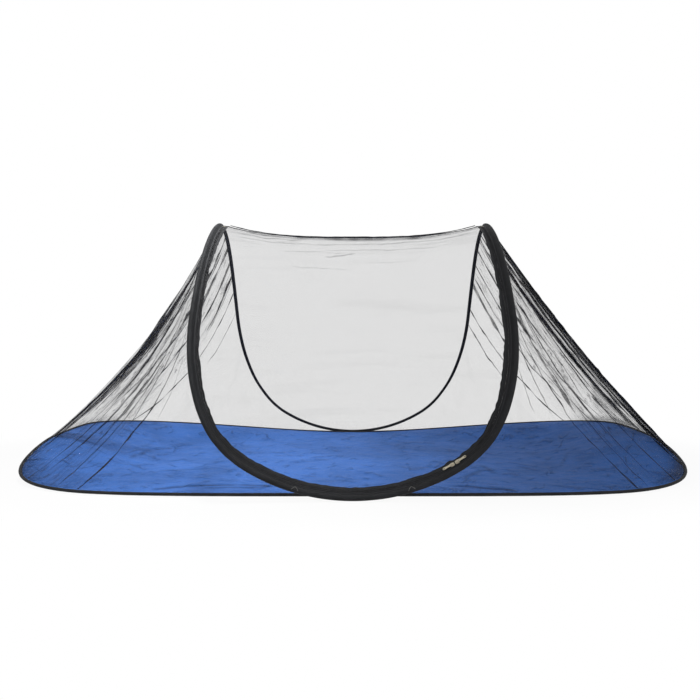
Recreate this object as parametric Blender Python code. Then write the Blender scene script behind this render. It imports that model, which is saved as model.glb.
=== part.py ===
"""Pop-up mosquito net tent: a saddle-shaped spring hoop sprung over a long floor ring.

Metres, +Z up, +X along the tent, the zipped door faces -Y.  The origin is the middle
of the floor's underside, where the tent rests on the ground.
"""

from math import asin, atan, atan2, ceil, cos, pi, radians, sin

import bmesh
import bpy
from mathutils import Vector

# Overall size
LENGTH = 1.980
FLOOR_WIDTH = 0.990
PEAK_HEIGHT = 0.765

# Gaps that touching pieces keep
GAP = 0.0004
NET_GAP = 0.0014
GROUND_GAP = 0.0005
FOOT_GAP = 0.001
CUT_OVERRUN = 0.001

# Cloth, wires, ferrules and the tape folded round the floor ring
FABRIC = 0.002
WIRE_RADIUS = 0.0015
WIRE_CLEARANCE = 0.0003
WIRE_END_GAP = 0.001
FERRULE_BORE = WIRE_RADIUS + WIRE_CLEARANCE
FERRULE_WALL = 0.0007
FERRULE_RADIUS = FERRULE_BORE + FERRULE_WALL
FERRULE_LENGTH = 0.040
BINDING_CLEARANCE = 0.0008
BINDING_BORE = FERRULE_RADIUS + BINDING_CLEARANCE
BINDING_WALL = 0.0022
BINDING_RADIUS = BINDING_BORE + BINDING_WALL
BINDING_MOUTH = radians(25.0)

# Hoop sleeves: a round channel and a flange towards the net
SLEEVE_CLEARANCE = 0.0009
SLEEVE_BORE = FERRULE_RADIUS + SLEEVE_CLEARANCE
FRONT_SLEEVE_WALL = 0.0041
FRONT_SLEEVE_RADIUS = SLEEVE_BORE + FRONT_SLEEVE_WALL
FRONT_FLANGE_REACH = 0.0025
FRONT_FLANGE = FRONT_SLEEVE_RADIUS + FRONT_FLANGE_REACH
REAR_SLEEVE_WALL = 0.0021
REAR_SLEEVE_RADIUS = SLEEVE_BORE + REAR_SLEEVE_WALL
REAR_FLANGE_REACH = 0.0020
REAR_FLANGE = REAR_SLEEVE_RADIUS + REAR_FLANGE_REACH
FLANGE_THICKNESS = 0.003
SLEEVE_CORNER = radians(40.0)
BORE_CORNER = radians(20.0)
BORE_SIDE = radians(60.0)
PEAK_SPLIT = 0.002

# Hoop seen from the front, from its foot up one side: bend radii, and headings in degrees
FOOT_BEND_RADIUS = 0.520
LOW_BEND_RADIUS = 0.290
SIDE_BEND_RADIUS = 0.380
HIGH_BEND_RADIUS = 0.560
UPRIGHT_BEND_RADIUS = 0.700
TOP_BEND_RADIUS = 4.200
HOOP_BENDS = (
    (FOOT_BEND_RADIUS, 31.0),
    (LOW_BEND_RADIUS, 54.0),
    (SIDE_BEND_RADIUS, 69.0),
    (HIGH_BEND_RADIUS, 81.0),
    (UPRIGHT_BEND_RADIUS, 90.0),
)
PLANAR_BEND_COUNT = 2
HOOP_FOOT_HEIGHT = FRONT_SLEEVE_RADIUS + FOOT_GAP

# Hoop seen from the side: how it draws in from its foot to the peak
FRONT_OVERHANG = 0.040
FRONT_REACH = FLOOR_WIDTH / 2 + FRONT_OVERHANG
REAR_REACH = FLOOR_WIDTH / 2 + REAR_SLEEVE_RADIUS + GAP
RISE_POWER = 1.18
REACH_POWER = 1.82
PLANAR_SHARE = 0.30
SLOPE_STEP_SHARE = 0.001
SPARE_SHARE = 0.3
FRONT_STEPS = 24
REAR_STEPS = 22
RUN_SPACING = 0.018
BAND_LEAN = radians(45.0)
BAND_LEAN_POWER = 2.5

# Floor ring in plan, and the rise of its ends off the ground
RING_SQUARENESS = 4.4
RING_STEPS = 88
RING_CORNER_SHARE = 0.5
RING_LIFT = 0.070
RING_TURN_STEP = 0.001
LIFT_START = radians(-53.0)
LIFT_FALL = radians(25.0)
RING_HALF_LENGTH = LENGTH / 2 - BINDING_RADIUS
RING_HALF_WIDTH = FLOOR_WIDTH / 2 - BINDING_RADIUS
RING_HEIGHT = BINDING_RADIUS + GROUND_GAP

# Zip slider and its bail
SLIDER_LENGTH = 0.0120
SLIDER_WIDTH = 0.0110
SLIDER_PLATE = 0.0010
SLIDER_CLEARANCE = 0.0007
SLIDER_BLADE = 0.0010
SLIDER_END_GAP = 0.0015
SLIDER_SPACING = SLIDER_LENGTH / 2 + SLIDER_END_GAP
BAIL_LENGTH = 0.0080
BAIL_BAR = 0.0011
BAIL_WIDTH = 0.0020
BAIL_ROOM = 0.0003

# Pull tab
PULL_LENGTH = 0.0270
PULL_WIDTH = 0.0068
PULL_THICKNESS = 0.0012
PULL_BAR = 0.0011
PULL_HOLE = 0.0018
PULL_CLEARANCE = 0.0004
PULL_SLOT_ROOM = 0.0022
PULL_SLOT = BAIL_LENGTH / 2 + PULL_SLOT_ROOM
BAIL_HEIGHT = BAIL_BAR + PULL_THICKNESS + 2 * PULL_CLEARANCE + BAIL_ROOM

# Zip along the front hoop, across the band: tape, teeth, slit, teeth, tape
FRAME_TAPE_WIDTH = 0.0050
TEETH_WIDTH = 0.0023
TEETH_THICKNESS = 0.0024
SLIT_CLEARANCE = 0.0008
ZIP_SLIT = SLIDER_BLADE + 2 * SLIT_CLEARANCE
DOOR_TAPE_WIDTH = 0.0086
TAPE_THICKNESS = 0.0020
ZIP_END_SHARE = 0.93
STOP_LENGTH = 0.006
STOP_WALL = 0.0004
STOP_THICKNESS = TEETH_THICKNESS + 2 * STOP_WALL
BAND_FRAME_TAPE = FRONT_FLANGE + GAP
BAND_FRAME_TEETH = BAND_FRAME_TAPE + FRAME_TAPE_WIDTH + GAP
BAND_SLIT = BAND_FRAME_TEETH + TEETH_WIDTH + ZIP_SLIT / 2
BAND_DOOR_TEETH = BAND_SLIT + ZIP_SLIT / 2
BAND_DOOR_TAPE = BAND_DOOR_TEETH + TEETH_WIDTH + GAP
BAND_INNER = BAND_DOOR_TAPE + DOOR_TAPE_WIDTH

# Notch in the door's tape and teeth where the two sliders rest
NOTCH_HALF_LENGTH = 0.040
NOTCH_SHARES = (-1.05, -1.0, -0.5, 0.0, 0.5, 1.0, 1.05)
NOTCH_EDGE_SHARE = (NOTCH_SHARES[-2] + NOTCH_SHARES[-1]) / 2
NOTCH_CLEARANCE = 0.0015
NOTCH_DEPTH = BAND_SLIT + SLIDER_WIDTH / 2 + NOTCH_CLEARANCE - BAND_DOOR_TAPE

# Seams and hems
SEAM_WIDTH = 0.010
SEAM_THICKNESS = 0.003
RIDGE_WIDTH = 0.008
RIDGE_SAG = 0.037
RIDGE_SAG_POWER = 6
RIDGE_FLATNESS = 3
HEM_WIDTH = 0.008
HEM_SPACING = 0.0008
HINGE_RISE = 0.003
FRONT_SPLIT = 0.001
REAR_SPLIT = 0.130
NET_START = 0.060

# Pull of the stretched cloth: sag of each end seam, hollow of the end nets, and the
# draw-in of the front and rear nets
LEFT_SEAM_SAG = 0.045
RIGHT_SEAM_SAG = 0.017
SEAM_PULL_START_SHARE = 0.25
SEAM_PULL_RUN_SHARE = 0.60
NET_HOLLOW_SHARE = 0.045
NET_BOW = 0.075
END_NET_ROWS = 8

# Folds of the end nets
FOLD_DEPTH = 0.008
FOLD_COUNT = 5
FOLD_START_SHARE = 0.45
FOLD_EASE_SHARE = 0.35
FOLD_END_SHARE = 0.04
FOLD_WINDOW_POWER = 0.7
CORNER_GATHER_SHARE = 0.25
CORNER_GATHER_POWER = 6

# Angle above which an edge shows as a crease
CREASE_ANGLE = radians(40.0)

# Colour, roughness and metallic value of each material
FINISHES = {
    "floor_cloth": ((0.06, 0.17, 0.48), 0.55, 0.0),
    "net": ((0.03, 0.03, 0.035), 0.75, 0.0),
    "binding": ((0.012, 0.012, 0.016), 0.70, 0.0),
    "zip_tape": ((0.018, 0.019, 0.020), 0.75, 0.0),
    "zip_coil": ((0.010, 0.010, 0.011), 0.45, 0.0),
    "spring_steel": ((0.42, 0.42, 0.44), 0.30, 1.0),
    "zip_metal": ((0.70, 0.67, 0.60), 0.28, 1.0),
}


def clear_scene():
    """Remove whatever the file holds."""
    for old in list(bpy.data.objects):
        bpy.data.objects.remove(old, do_unlink=True)


def material(name):
    """Principled material from the table of finishes, made once."""
    made = bpy.data.materials.get(name)
    if made:
        return made
    colour, roughness, metallic = FINISHES[name]
    made = bpy.data.materials.new(name)
    made.use_nodes = True
    shader = made.node_tree.nodes["Principled BSDF"]
    shader.inputs["Base Color"].default_value = (*colour, 1.0)
    shader.inputs["Roughness"].default_value = roughness
    shader.inputs["Metallic"].default_value = metallic
    made.diffuse_color = (*colour, 1.0)
    return made


def add_object(name, bm, finish, origin=None):
    """Object from a bmesh, with its origin at the given world point."""
    bmesh.ops.recalc_face_normals(bm, faces=bm.faces)
    if origin is not None:
        bmesh.ops.translate(bm, vec=-origin, verts=bm.verts)
    mesh = bpy.data.meshes.new(name)
    bm.to_mesh(mesh)
    bm.free()
    mesh.shade_smooth()
    mesh.set_sharp_from_angle(angle=CREASE_ANGLE)
    mesh.materials.append(material(finish))
    made = bpy.data.objects.new(name, mesh)
    bpy.context.scene.collection.objects.link(made)
    if origin is not None:
        made.location = origin
    return made


def smooth_step(value):
    """Ease from 0 to 1."""
    value = min(max(value, 0.0), 1.0)
    return value * value * (3.0 - 2.0 * value)


# The hoop's curve
def bend_length(count):
    """Length of the first bends of the hoop, from its foot."""
    length = 0.0
    heading = 0.0
    for radius, end in HOOP_BENDS[:count]:
        length += radius * (radians(end) - heading)
        heading = radians(end)
    return length


def front_view(distance):
    """Sideways place, height and heading of the hoop, a distance up from its foot."""
    across = 0.0
    height = HOOP_FOOT_HEIGHT
    heading = 0.0
    for radius, end in HOOP_BENDS + ((TOP_BEND_RADIUS, 180.0),):
        turn = min(distance / radius, radians(end) - heading)
        across += radius * (sin(heading + turn) - sin(heading))
        height += radius * (cos(heading) - cos(heading + turn))
        heading += turn
        distance -= radius * turn
        if distance <= 0.0:
            break
    return across, height, heading


PLANAR_LENGTH = bend_length(PLANAR_BEND_COUNT)
PLANAR_HEIGHT = front_view(PLANAR_LENGTH)[1]
BENDS_LENGTH = bend_length(len(HOOP_BENDS))
BENDS_HEIGHT = front_view(BENDS_LENGTH)[1]
TOP_BEND_ANGLE = asin((PEAK_HEIGHT - BENDS_HEIGHT) / TOP_BEND_RADIUS)
QUARTER_LENGTH = BENDS_LENGTH + TOP_BEND_RADIUS * TOP_BEND_ANGLE
PEAK_ACROSS = front_view(QUARTER_LENGTH)[0]


def hoop_distance(share):
    """Front-view distance up the hoop at a share of a quarter of it."""
    if share <= PLANAR_SHARE:
        return PLANAR_LENGTH * share / PLANAR_SHARE
    upper = (share - PLANAR_SHARE) / (1.0 - PLANAR_SHARE)
    return PLANAR_LENGTH + (QUARTER_LENGTH - PLANAR_LENGTH) * sin(upper * pi / 2)


def hoop_rise(height):
    """Share of the way from the flat lower part of the hoop to its peak."""
    return min(max((height - PLANAR_HEIGHT) / (PEAK_HEIGHT - PLANAR_HEIGHT), 0.0), 1.0)


def hoop_place(share, side, end):
    """Point of the hoop wire; side is +1 or -1 along X, end is -1 front or +1 rear."""
    across, height, _ = front_view(hoop_distance(share))
    reach = FRONT_REACH if end < 0 else REAR_REACH
    draw_in = (1.0 - hoop_rise(height) ** RISE_POWER) ** (1.0 / REACH_POWER)
    return Vector((side * across, end * reach * draw_in, height))


def hoop_frame(share, side, end):
    """Point, tangent, direction across the band towards the net, and outward normal."""
    low = min(max(share - SLOPE_STEP_SHARE, 0.0), 1.0 - SLOPE_STEP_SHARE)
    step = hoop_place(low + SLOPE_STEP_SHARE, side, end) - hoop_place(low, side, end)
    tangent = step.normalized()
    _, height, heading = front_view(hoop_distance(share))
    lean = BAND_LEAN * (1.0 - hoop_rise(height)) ** BAND_LEAN_POWER
    inward = Vector((-side * sin(heading) * cos(lean), -end * sin(lean), cos(heading) * cos(lean)))
    inward = (inward - tangent * inward.dot(tangent)).normalized()
    normal = tangent.cross(inward).normalized()
    if normal.y * end + normal.z < 0.0:
        normal.negate()
    return hoop_place(share, side, end), tangent, inward, normal


def share_at_depth(depth, end):
    """Share of the hoop quarter where the wire is this far from the ridge plane."""
    low = PLANAR_SHARE
    high = 1.0
    for _ in range(50):
        middle = (low + high) / 2
        if abs(hoop_place(middle, 1, end).y) > depth:
            low = middle
        else:
            high = middle
    return low


def share_at_distance(distance):
    """Share of the hoop quarter at a front-view distance within its flat lower part."""
    return PLANAR_SHARE * distance / PLANAR_LENGTH


def share_at_across(across):
    """Share near the foot of the hoop where the wire is this far from the middle."""
    return share_at_distance(FOOT_BEND_RADIUS * asin(across / FOOT_BEND_RADIUS))


def hoop_shares(top_share, end):
    """Shares at which every piece along one half of the hoop is sampled, up to its own top."""
    steps = FRONT_STEPS if end < 0 else REAR_STEPS
    shares = [step / steps for step in range(steps)]
    spare = SPARE_SHARE * shares[1]
    if end < 0:
        near = slider_run_shares()
        shares = [share for share in shares if not near[0] - spare < share < near[-1] + spare] + near
    return sorted(share for share in shares if share < top_share - spare) + [top_share]


def slider_run_shares():
    """Closer shares at the zip's notch and from there up to the end of the flat lower part."""
    places = [bend_length(1) + NOTCH_HALF_LENGTH * place for place in NOTCH_SHARES]
    run = PLANAR_LENGTH - places[-1]
    count = ceil(run / RUN_SPACING)
    places += [places[-1] + run * step / count for step in range(1, count + 1)]
    return [share_at_distance(place) for place in places]


def half_hoop(end, top_share):
    """Shares and frames from the left peak down through the foot to the right peak."""
    shares = hoop_shares(top_share, end)
    left = [(-share, hoop_frame(share, -1, end)) for share in reversed(shares)]
    right = [(share, hoop_frame(share, 1, end)) for share in shares[1:]]
    return left + right


# The floor ring's curve
def ring_lift(turn):
    """Rise of the ring off the ground: the ends and rear corners are drawn up."""
    turn = atan2(sin(turn), abs(cos(turn)))
    if turn < 0.0:
        return RING_LIFT * smooth_step((turn - LIFT_START) / -LIFT_START)
    return RING_LIFT * (1.0 - smooth_step((turn - LIFT_FALL) / (pi / 2 - LIFT_FALL)))


def ring_plan(turn, half_length, half_width):
    """Plan of the ring: a squared-off oval."""
    size = abs(cos(turn)) ** RING_SQUARENESS + abs(sin(turn)) ** RING_SQUARENESS
    grow = size ** (-1.0 / RING_SQUARENESS)
    return half_length * cos(turn) * grow, half_width * sin(turn) * grow


def ring_place(turn):
    """Point of the ring wire; turn 0 is the right end and a quarter turn is the rear."""
    x, y = ring_plan(turn, RING_HALF_LENGTH, RING_HALF_WIDTH)
    return Vector((x, y, RING_HEIGHT + ring_lift(turn)))


def ring_turns(start, stop):
    """Turns from start to stop, closer together at the ring's corners."""
    even = [start + (stop - start) * step / RING_STEPS for step in range(RING_STEPS + 1)]
    return [turn + RING_CORNER_SHARE * sin(4 * turn) / 4 for turn in even]


def ring_frame(turn):
    """Point, tangent, direction towards the floor, and upward normal."""
    step = ring_place(turn + RING_TURN_STEP) - ring_place(turn - RING_TURN_STEP)
    tangent = step.normalized()
    inward = Vector((0.0, 0.0, 1.0)).cross(tangent).normalized()
    return ring_place(turn), tangent, inward, tangent.cross(inward).normalized()


# Sweeping outlines along frames
def circle(radius, count, start=0.0, stop=2 * pi, whole=True):
    """Points of an arc in an outline's plane."""
    parts = count if whole else count - 1
    angles = [start + (stop - start) * index / parts for index in range(count)]
    return [(radius * cos(angle), radius * sin(angle)) for angle in angles]


def rectangle(low, high, thickness):
    """Outline from low to high across the band, centred on its surface."""
    half = thickness / 2
    return [(low, -half), (high, -half), (high, half), (low, half)]


def place_outline(bm, frame, outline):
    """Vertices of an outline laid across a frame."""
    point, _, across, normal = frame
    return [bm.verts.new(point + across * u + normal * v) for u, v in outline]


def bridge(bm, first, second):
    """Ring of quads between two equal loops."""
    count = len(first)
    for index in range(count):
        after = (index + 1) % count
        bm.faces.new((first[index], first[after], second[after], second[index]))


def sweep(name, frames, outline, finish, hole=None, closed=False, origin=None):
    """Solid swept along frames; outline may be one outline or one for each frame."""
    bm = bmesh.new()
    varied = isinstance(outline[0], list)
    loops = []
    for index, frame in enumerate(frames):
        shape = outline[index] if varied else outline
        loops.append(place_outline(bm, frame, shape))
    bores = [place_outline(bm, frame, hole) for frame in frames] if hole else []
    for rings in (loops, bores):
        for first, second in zip(rings, rings[1:]):
            bridge(bm, first, second)
        if closed and rings:
            bridge(bm, rings[-1], rings[0])
    if not closed and hole:
        bridge(bm, loops[0], bores[0])
        bridge(bm, loops[-1], bores[-1])
    elif not closed:
        bm.faces.new(loops[0])
        bm.faces.new(loops[-1])
    return add_object(name, bm, finish, origin)


def cloth(name, rows, finish, origin=None):
    """Closed sheet of cloth over a grid of points, thickened equally to both sides."""
    bm = bmesh.new()
    grid = [[bm.verts.new(point) for point in row] for row in rows]
    for below, above in zip(grid, grid[1:]):
        for index in range(len(below) - 1):
            bm.faces.new((below[index], below[index + 1], above[index + 1], above[index]))
    made = add_object(name, bm, finish, origin)
    thicken(made)
    return made


def thicken(made):
    """Give a sheet its thickness."""
    solid = made.modifiers.new("thickness", "SOLIDIFY")
    solid.thickness = FABRIC
    solid.offset = 0.0
    solid.use_even_offset = True


# Wires, ferrules, sleeves and the floor's binding
def make_wires():
    """The two spring steel loops, each closed by a crimped ferrule."""
    section = circle(WIRE_RADIUS, 6)
    hoop_start = share_at_across(WIRE_END_GAP)
    rear = hoop_shares(1.0, 1)[1:]
    front = hoop_shares(1.0, -1)
    path = [hoop_frame(hoop_start, 1, 1)]
    path += [hoop_frame(share, 1, 1) for share in rear]
    path += [hoop_frame(share, 1, -1) for share in reversed(front[:-1])]
    path += [hoop_frame(share, -1, -1) for share in front[1:]]
    path += [hoop_frame(share, -1, 1) for share in reversed(rear[:-1])]
    path += [hoop_frame(hoop_start, -1, 1)]
    sweep("hoop_wire", even_frames(path), section, "spring_steel")
    turns = ring_turns(-pi / 2, 3 * pi / 2)
    end = asin(WIRE_END_GAP / RING_HALF_LENGTH)
    turns = [turns[0] + end] + turns[1:-1] + [turns[-1] - end]
    sweep("floor_ring_wire", [ring_frame(turn) for turn in turns], section, "spring_steel")


def even_frames(frames):
    """Carry the across direction along a path so that a swept section doesn't twist."""
    points = [frame[0] for frame in frames]
    across = frames[0][2]
    result = []
    for index, point in enumerate(points):
        before = points[max(index - 1, 0)]
        after = points[min(index + 1, len(points) - 1)]
        tangent = (after - before).normalized()
        across = (across - tangent * across.dot(tangent)).normalized()
        result.append((point, tangent, across, tangent.cross(across).normalized()))
    return result


def ferrule_path(before, foot, after):
    """Frames of a ferrule centred where the two ends of a wire meet."""
    half = FERRULE_LENGTH / 2
    left = foot + (before - foot).normalized() * half
    right = foot + (after - foot).normalized() * half
    across = Vector((0.0, 1.0, 0.0))
    return even_frames([(point, None, across, None) for point in (left, foot, right)])


def make_ferrules():
    """Crimped tubes over the wires' ends: the hoop's at its rear foot, the ring's in front."""
    outer = circle(FERRULE_RADIUS, 8)
    bore = circle(FERRULE_BORE, 8)
    share = hoop_shares(1.0, 1)[1]
    path = ferrule_path(hoop_place(share, -1, 1), hoop_place(0.0, 1, 1), hoop_place(share, 1, 1))
    sweep("hoop_wire_ferrule", path, outer, "spring_steel", hole=bore)
    turns = ring_turns(-pi / 2, 3 * pi / 2)
    path = ferrule_path(ring_place(turns[-2]), ring_place(turns[0]), ring_place(turns[1]))
    sweep("floor_ring_ferrule", path, outer, "spring_steel", hole=bore)


def sleeve_outlines(radius, flange):
    """Round channel with a flange on its inner side, and the bore for the wire."""
    outer = [(flange, -FLANGE_THICKNESS / 2), (flange, FLANGE_THICKNESS / 2)]
    outer += circle(radius, 6, SLEEVE_CORNER, 2 * pi - SLEEVE_CORNER, whole=False)
    bore = circle(SLEEVE_BORE, 2, -BORE_CORNER, BORE_CORNER, whole=False)
    bore += circle(SLEEVE_BORE, 6, BORE_SIDE, 2 * pi - BORE_SIDE, whole=False)
    return outer, bore


def make_sleeves():
    """Cloth channels round the hoop, front and rear, split at the two peaks."""
    for name, end, radius, flange in (
        ("front_hoop_sleeve", -1, FRONT_SLEEVE_RADIUS, FRONT_FLANGE),
        ("rear_hoop_sleeve", 1, REAR_SLEEVE_RADIUS, REAR_FLANGE),
    ):
        outer, bore = sleeve_outlines(radius, flange)
        top = share_at_depth(PEAK_SPLIT / 2, end)
        frames = [frame for _, frame in half_hoop(end, top)]
        sweep(name, frames, outer, "binding", hole=bore)


def make_floor_binding():
    """Tape folded round the ring wire, open towards the floor."""
    outline = circle(BINDING_RADIUS, 6, BINDING_MOUTH, 2 * pi - BINDING_MOUTH, whole=False)
    outline += circle(BINDING_BORE, 5, 2 * pi - BINDING_MOUTH, BINDING_MOUTH, whole=False)
    frames = [ring_frame(turn) for turn in ring_turns(-pi / 2, 3 * pi / 2)[:-1]]
    sweep("floor_edge_binding", frames, outline, "binding", closed=True)


def make_floor():
    """Floor cloth, flat on the ground and drawn up to the ring at its edge."""
    ring_shares = (0.62, 0.84, 1.0)
    half_length = RING_HALF_LENGTH - BINDING_BORE
    half_width = RING_HALF_WIDTH - BINDING_BORE
    bm = bmesh.new()
    loops = []
    for share in ring_shares:
        loop = []
        for turn in ring_turns(-pi / 2, 3 * pi / 2)[:-1]:
            x, y = ring_plan(turn, half_length * share, half_width * share)
            rise = smooth_step((share - ring_shares[0]) / (1.0 - ring_shares[0]))
            edge = RING_HEIGHT + ring_lift(turn)
            loop.append(bm.verts.new((x, y, FABRIC / 2 + (edge - FABRIC / 2) * rise)))
        loops.append(loop)
    bm.faces.new(loops[0])
    for first, second in zip(loops, loops[1:]):
        bridge(bm, first, second)
    made = add_object("floor_sheet", bm, "floor_cloth")
    thicken(made)


# Nets
def end_net_columns(side, end):
    """Pairs of hoop and ring points that the net of one end is stretched between."""
    columns = 28
    radius = FRONT_SLEEVE_RADIUS if end < 0 else REAR_SLEEVE_RADIUS
    split = FRONT_SPLIT if end < 0 else REAR_SPLIT
    seam = SEAM_WIDTH / 2 + NET_GAP
    first_share = share_at_across(split / 2)
    last_share = share_at_depth(seam, end)
    first_turn = pi / 2 - asin(split / 2 / RING_HALF_LENGTH)
    last_turn = atan(seam / RING_HALF_WIDTH)
    pairs = []
    for column in range(columns + 1):
        along = column / columns
        share = first_share + (last_share - first_share) * along
        corner = CORNER_GATHER_SHARE * (along**CORNER_GATHER_POWER - along)
        turn = end * (first_turn + (last_turn - first_turn) * (along + corner))
        point, tangent, _, _ = hoop_frame(share, side, end)
        base, ring_tangent, _, _ = ring_frame(turn)
        if side < 0:
            base = Vector((-base.x, base.y, base.z))
            ring_tangent = Vector((-ring_tangent.x, ring_tangent.y, ring_tangent.z))
        down = base - point
        from_hoop = (down - tangent * down.dot(tangent)).normalized()
        from_ring = (-down + ring_tangent * down.dot(ring_tangent)).normalized()
        top = point + from_hoop * (radius + NET_GAP)
        foot = base + from_ring * (BINDING_RADIUS + NET_GAP)
        out = down.cross(tangent).normalized()
        if out.x * side + out.z < 0.0:
            out.negate()
        pairs.append((along, top, foot, out))
    return pairs


def seam_line(side):
    """Straight line of an end seam, from the peak to the ring's end, and its outward normal."""
    peak = hoop_place(1.0, side, -1)
    base = ring_place(0.0)
    base.x *= side
    down = (base - peak).normalized()
    normal = down.cross(Vector((0.0, side, 0.0)))
    return peak + down * (FRONT_SLEEVE_RADIUS + GAP), base - down * (BINDING_RADIUS + GAP), down, normal


def seam_pull(side, down):
    """How far the cloth's pull draws an end seam off its straight line, a share down it."""
    sag = LEFT_SEAM_SAG if side < 0 else RIGHT_SEAM_SAG
    normal = seam_line(side)[3]
    return normal * (-4.0 * sag * down * (1.0 - down))


def make_end_net(name, side, end):
    """Half of an end net, stretched from the hoop to the ring, with folds near its seam."""
    grid = []
    pairs = end_net_columns(side, end)
    for row in range(END_NET_ROWS + 1):
        down = row / END_NET_ROWS
        window = sin(pi * down) ** FOLD_WINDOW_POWER if 0 < row < END_NET_ROWS else 0.0
        pull = seam_pull(side, down)
        hollow = NET_HOLLOW_SHARE * 4.0 * down * (1.0 - down)
        points = []
        for along, top, foot, out in pairs:
            past = along - FOLD_START_SHARE
            ease = smooth_step(past / FOLD_EASE_SHARE) * smooth_step((1.0 - along) / FOLD_END_SHARE)
            fold = sin(2 * pi * FOLD_COUNT * past / (1.0 - FOLD_START_SHARE))
            depth = hollow * (foot - top).length * 4.0 * along * (1.0 - along)
            lift = FOLD_DEPTH * window * ease * fold - depth
            drawn = smooth_step((along - SEAM_PULL_START_SHARE) / SEAM_PULL_RUN_SHARE)
            points.append(top.lerp(foot, down) + out * lift + pull * drawn)
        grid.append(points)
    cloth(name, grid, "net")


def make_end_seam(name, side):
    """Tape over the seam of an end net, from the peak down to the ring's end."""
    start, finish, down, normal = seam_line(side)
    across = Vector((0.0, 1.0, 0.0))
    frames = []
    for step in range(END_NET_ROWS + 1):
        share = step / END_NET_ROWS
        frames.append((start.lerp(finish, share) + seam_pull(side, share), down, across, normal))
    sweep(name, frames, rectangle(-SEAM_WIDTH / 2, SEAM_WIDTH / 2, SEAM_THICKNESS), "binding")


def ridge_drop(along):
    """Share of the ridge's sag at a place along it, from -1 at one peak to 1 at the other."""
    return 1.0 - abs(along) ** RIDGE_FLATNESS


def make_span_net(name, end, inset, top_depth, origin=None):
    """Net that fills one half of the hoop, from its foot up to the ridge."""
    columns = 12
    first_share = share_at_across(NET_START)
    shares = hoop_shares(share_at_depth(top_depth, end), end)
    grid = []
    upper_shares = [share for share in shares if share > first_share * (1.0 + SPARE_SHARE)]
    for share in [first_share] + upper_shares:
        point, _, inward, _ = hoop_frame(share, 1, end)
        edge = point + inward * inset
        height_share = edge.z / PEAK_HEIGHT
        bow = NET_BOW * 4.0 * height_share * (1.0 - min(height_share, 1.0))
        sag = RIDGE_SAG * height_share**RIDGE_SAG_POWER
        points = []
        for column in range(columns + 1):
            along = 2.0 * column / columns - 1.0
            middle = 1.0 - along * along
            drawn_in = edge.y - end * bow * middle
            points.append(Vector((edge.x * along, drawn_in, edge.z - sag * ridge_drop(along))))
        grid.append(points)
    return cloth(name, grid, "net", origin)


def make_ridge_strip(name, depth, width, half_length, finish, origin=None):
    """Straight strip along the ridge that sags with it."""
    steps = 24
    share = share_at_depth(abs(depth), -1)
    height = hoop_place(share, 1, -1).z
    frames = []
    for step in range(steps + 1):
        along = 2.0 * step / steps - 1.0
        across = half_length * along
        point = Vector((across, depth, height - RIDGE_SAG * ridge_drop(along)))
        frames.append((point, None, Vector((0.0, 1.0, 0.0)), Vector((0.0, 0.0, 1.0))))
    sweep(name, frames, rectangle(-width / 2, width / 2, SEAM_THICKNESS), finish, origin=origin)


HEM_DEPTH = RIDGE_WIDTH / 2 + HEM_SPACING + HEM_WIDTH / 2
DOOR_TOP_DEPTH = HEM_DEPTH + HEM_WIDTH / 2 + GAP + FABRIC / 2
HINGE_HEIGHT = hoop_place(share_at_depth(HEM_DEPTH, -1), 1, -1).z + SEAM_THICKNESS / 2 + HINGE_RISE
DOOR_HINGE = Vector((0.0, -HEM_DEPTH, HINGE_HEIGHT))


def make_nets():
    """Four end net halves, their seams, the rear wall and the ridge."""
    for label, side in (("left", -1), ("right", 1)):
        make_end_net(label + "_end_net_front", side, -1)
        make_end_net(label + "_end_net_rear", side, 1)
        make_end_seam(label + "_end_seam_tape", side)
    rear_depth = RIDGE_WIDTH / 2 + GAP + FABRIC / 2
    make_span_net("rear_net_wall", 1, REAR_FLANGE + NET_GAP, rear_depth)
    ridge_half = PEAK_ACROSS - FRONT_FLANGE - GAP
    make_ridge_strip("ridge_seam_tape", 0.0, RIDGE_WIDTH, ridge_half, "binding")


# Door and zip
def make_zip():
    """Both tapes and both rows of teeth of the zip, and its end stops."""
    top = share_at_depth(DOOR_TOP_DEPTH, -1)
    path = half_hoop(-1, top)
    frames = [frame for _, frame in path]
    frame_tape = rectangle(BAND_FRAME_TAPE, BAND_FRAME_TAPE + FRAME_TAPE_WIDTH, TAPE_THICKNESS)
    sweep("zip_tape_frame", frames, frame_tape, "zip_tape")
    rest = bend_length(1)
    low = share_at_distance(rest - NOTCH_EDGE_SHARE * NOTCH_HALF_LENGTH)
    high = share_at_distance(rest + NOTCH_EDGE_SHARE * NOTCH_HALF_LENGTH)
    outlines = []
    for share, _ in path:
        notch = NOTCH_DEPTH if low < share < high else 0.0
        outlines.append(rectangle(BAND_DOOR_TAPE + notch, BAND_INNER, TAPE_THICKNESS))
    sweep("zip_tape_door", frames, outlines, "zip_tape", origin=DOOR_HINGE)
    toothed = [(share, frame) for share, frame in path if abs(share) < ZIP_END_SHARE]
    teeth = rectangle(BAND_FRAME_TEETH, BAND_FRAME_TEETH + TEETH_WIDTH, TEETH_THICKNESS)
    sweep("zip_teeth_frame", [frame for _, frame in toothed], teeth, "zip_coil")
    teeth = rectangle(BAND_DOOR_TEETH, BAND_DOOR_TEETH + TEETH_WIDTH, TEETH_THICKNESS)
    lower = [frame for share, frame in toothed if share < low]
    upper = [frame for share, frame in toothed if share > high]
    sweep("zip_teeth_door_lower", lower, teeth, "zip_coil", origin=DOOR_HINGE)
    sweep("zip_teeth_door_upper", upper, teeth, "zip_coil", origin=DOOR_HINGE)
    make_stops(toothed[-1][0])


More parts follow.
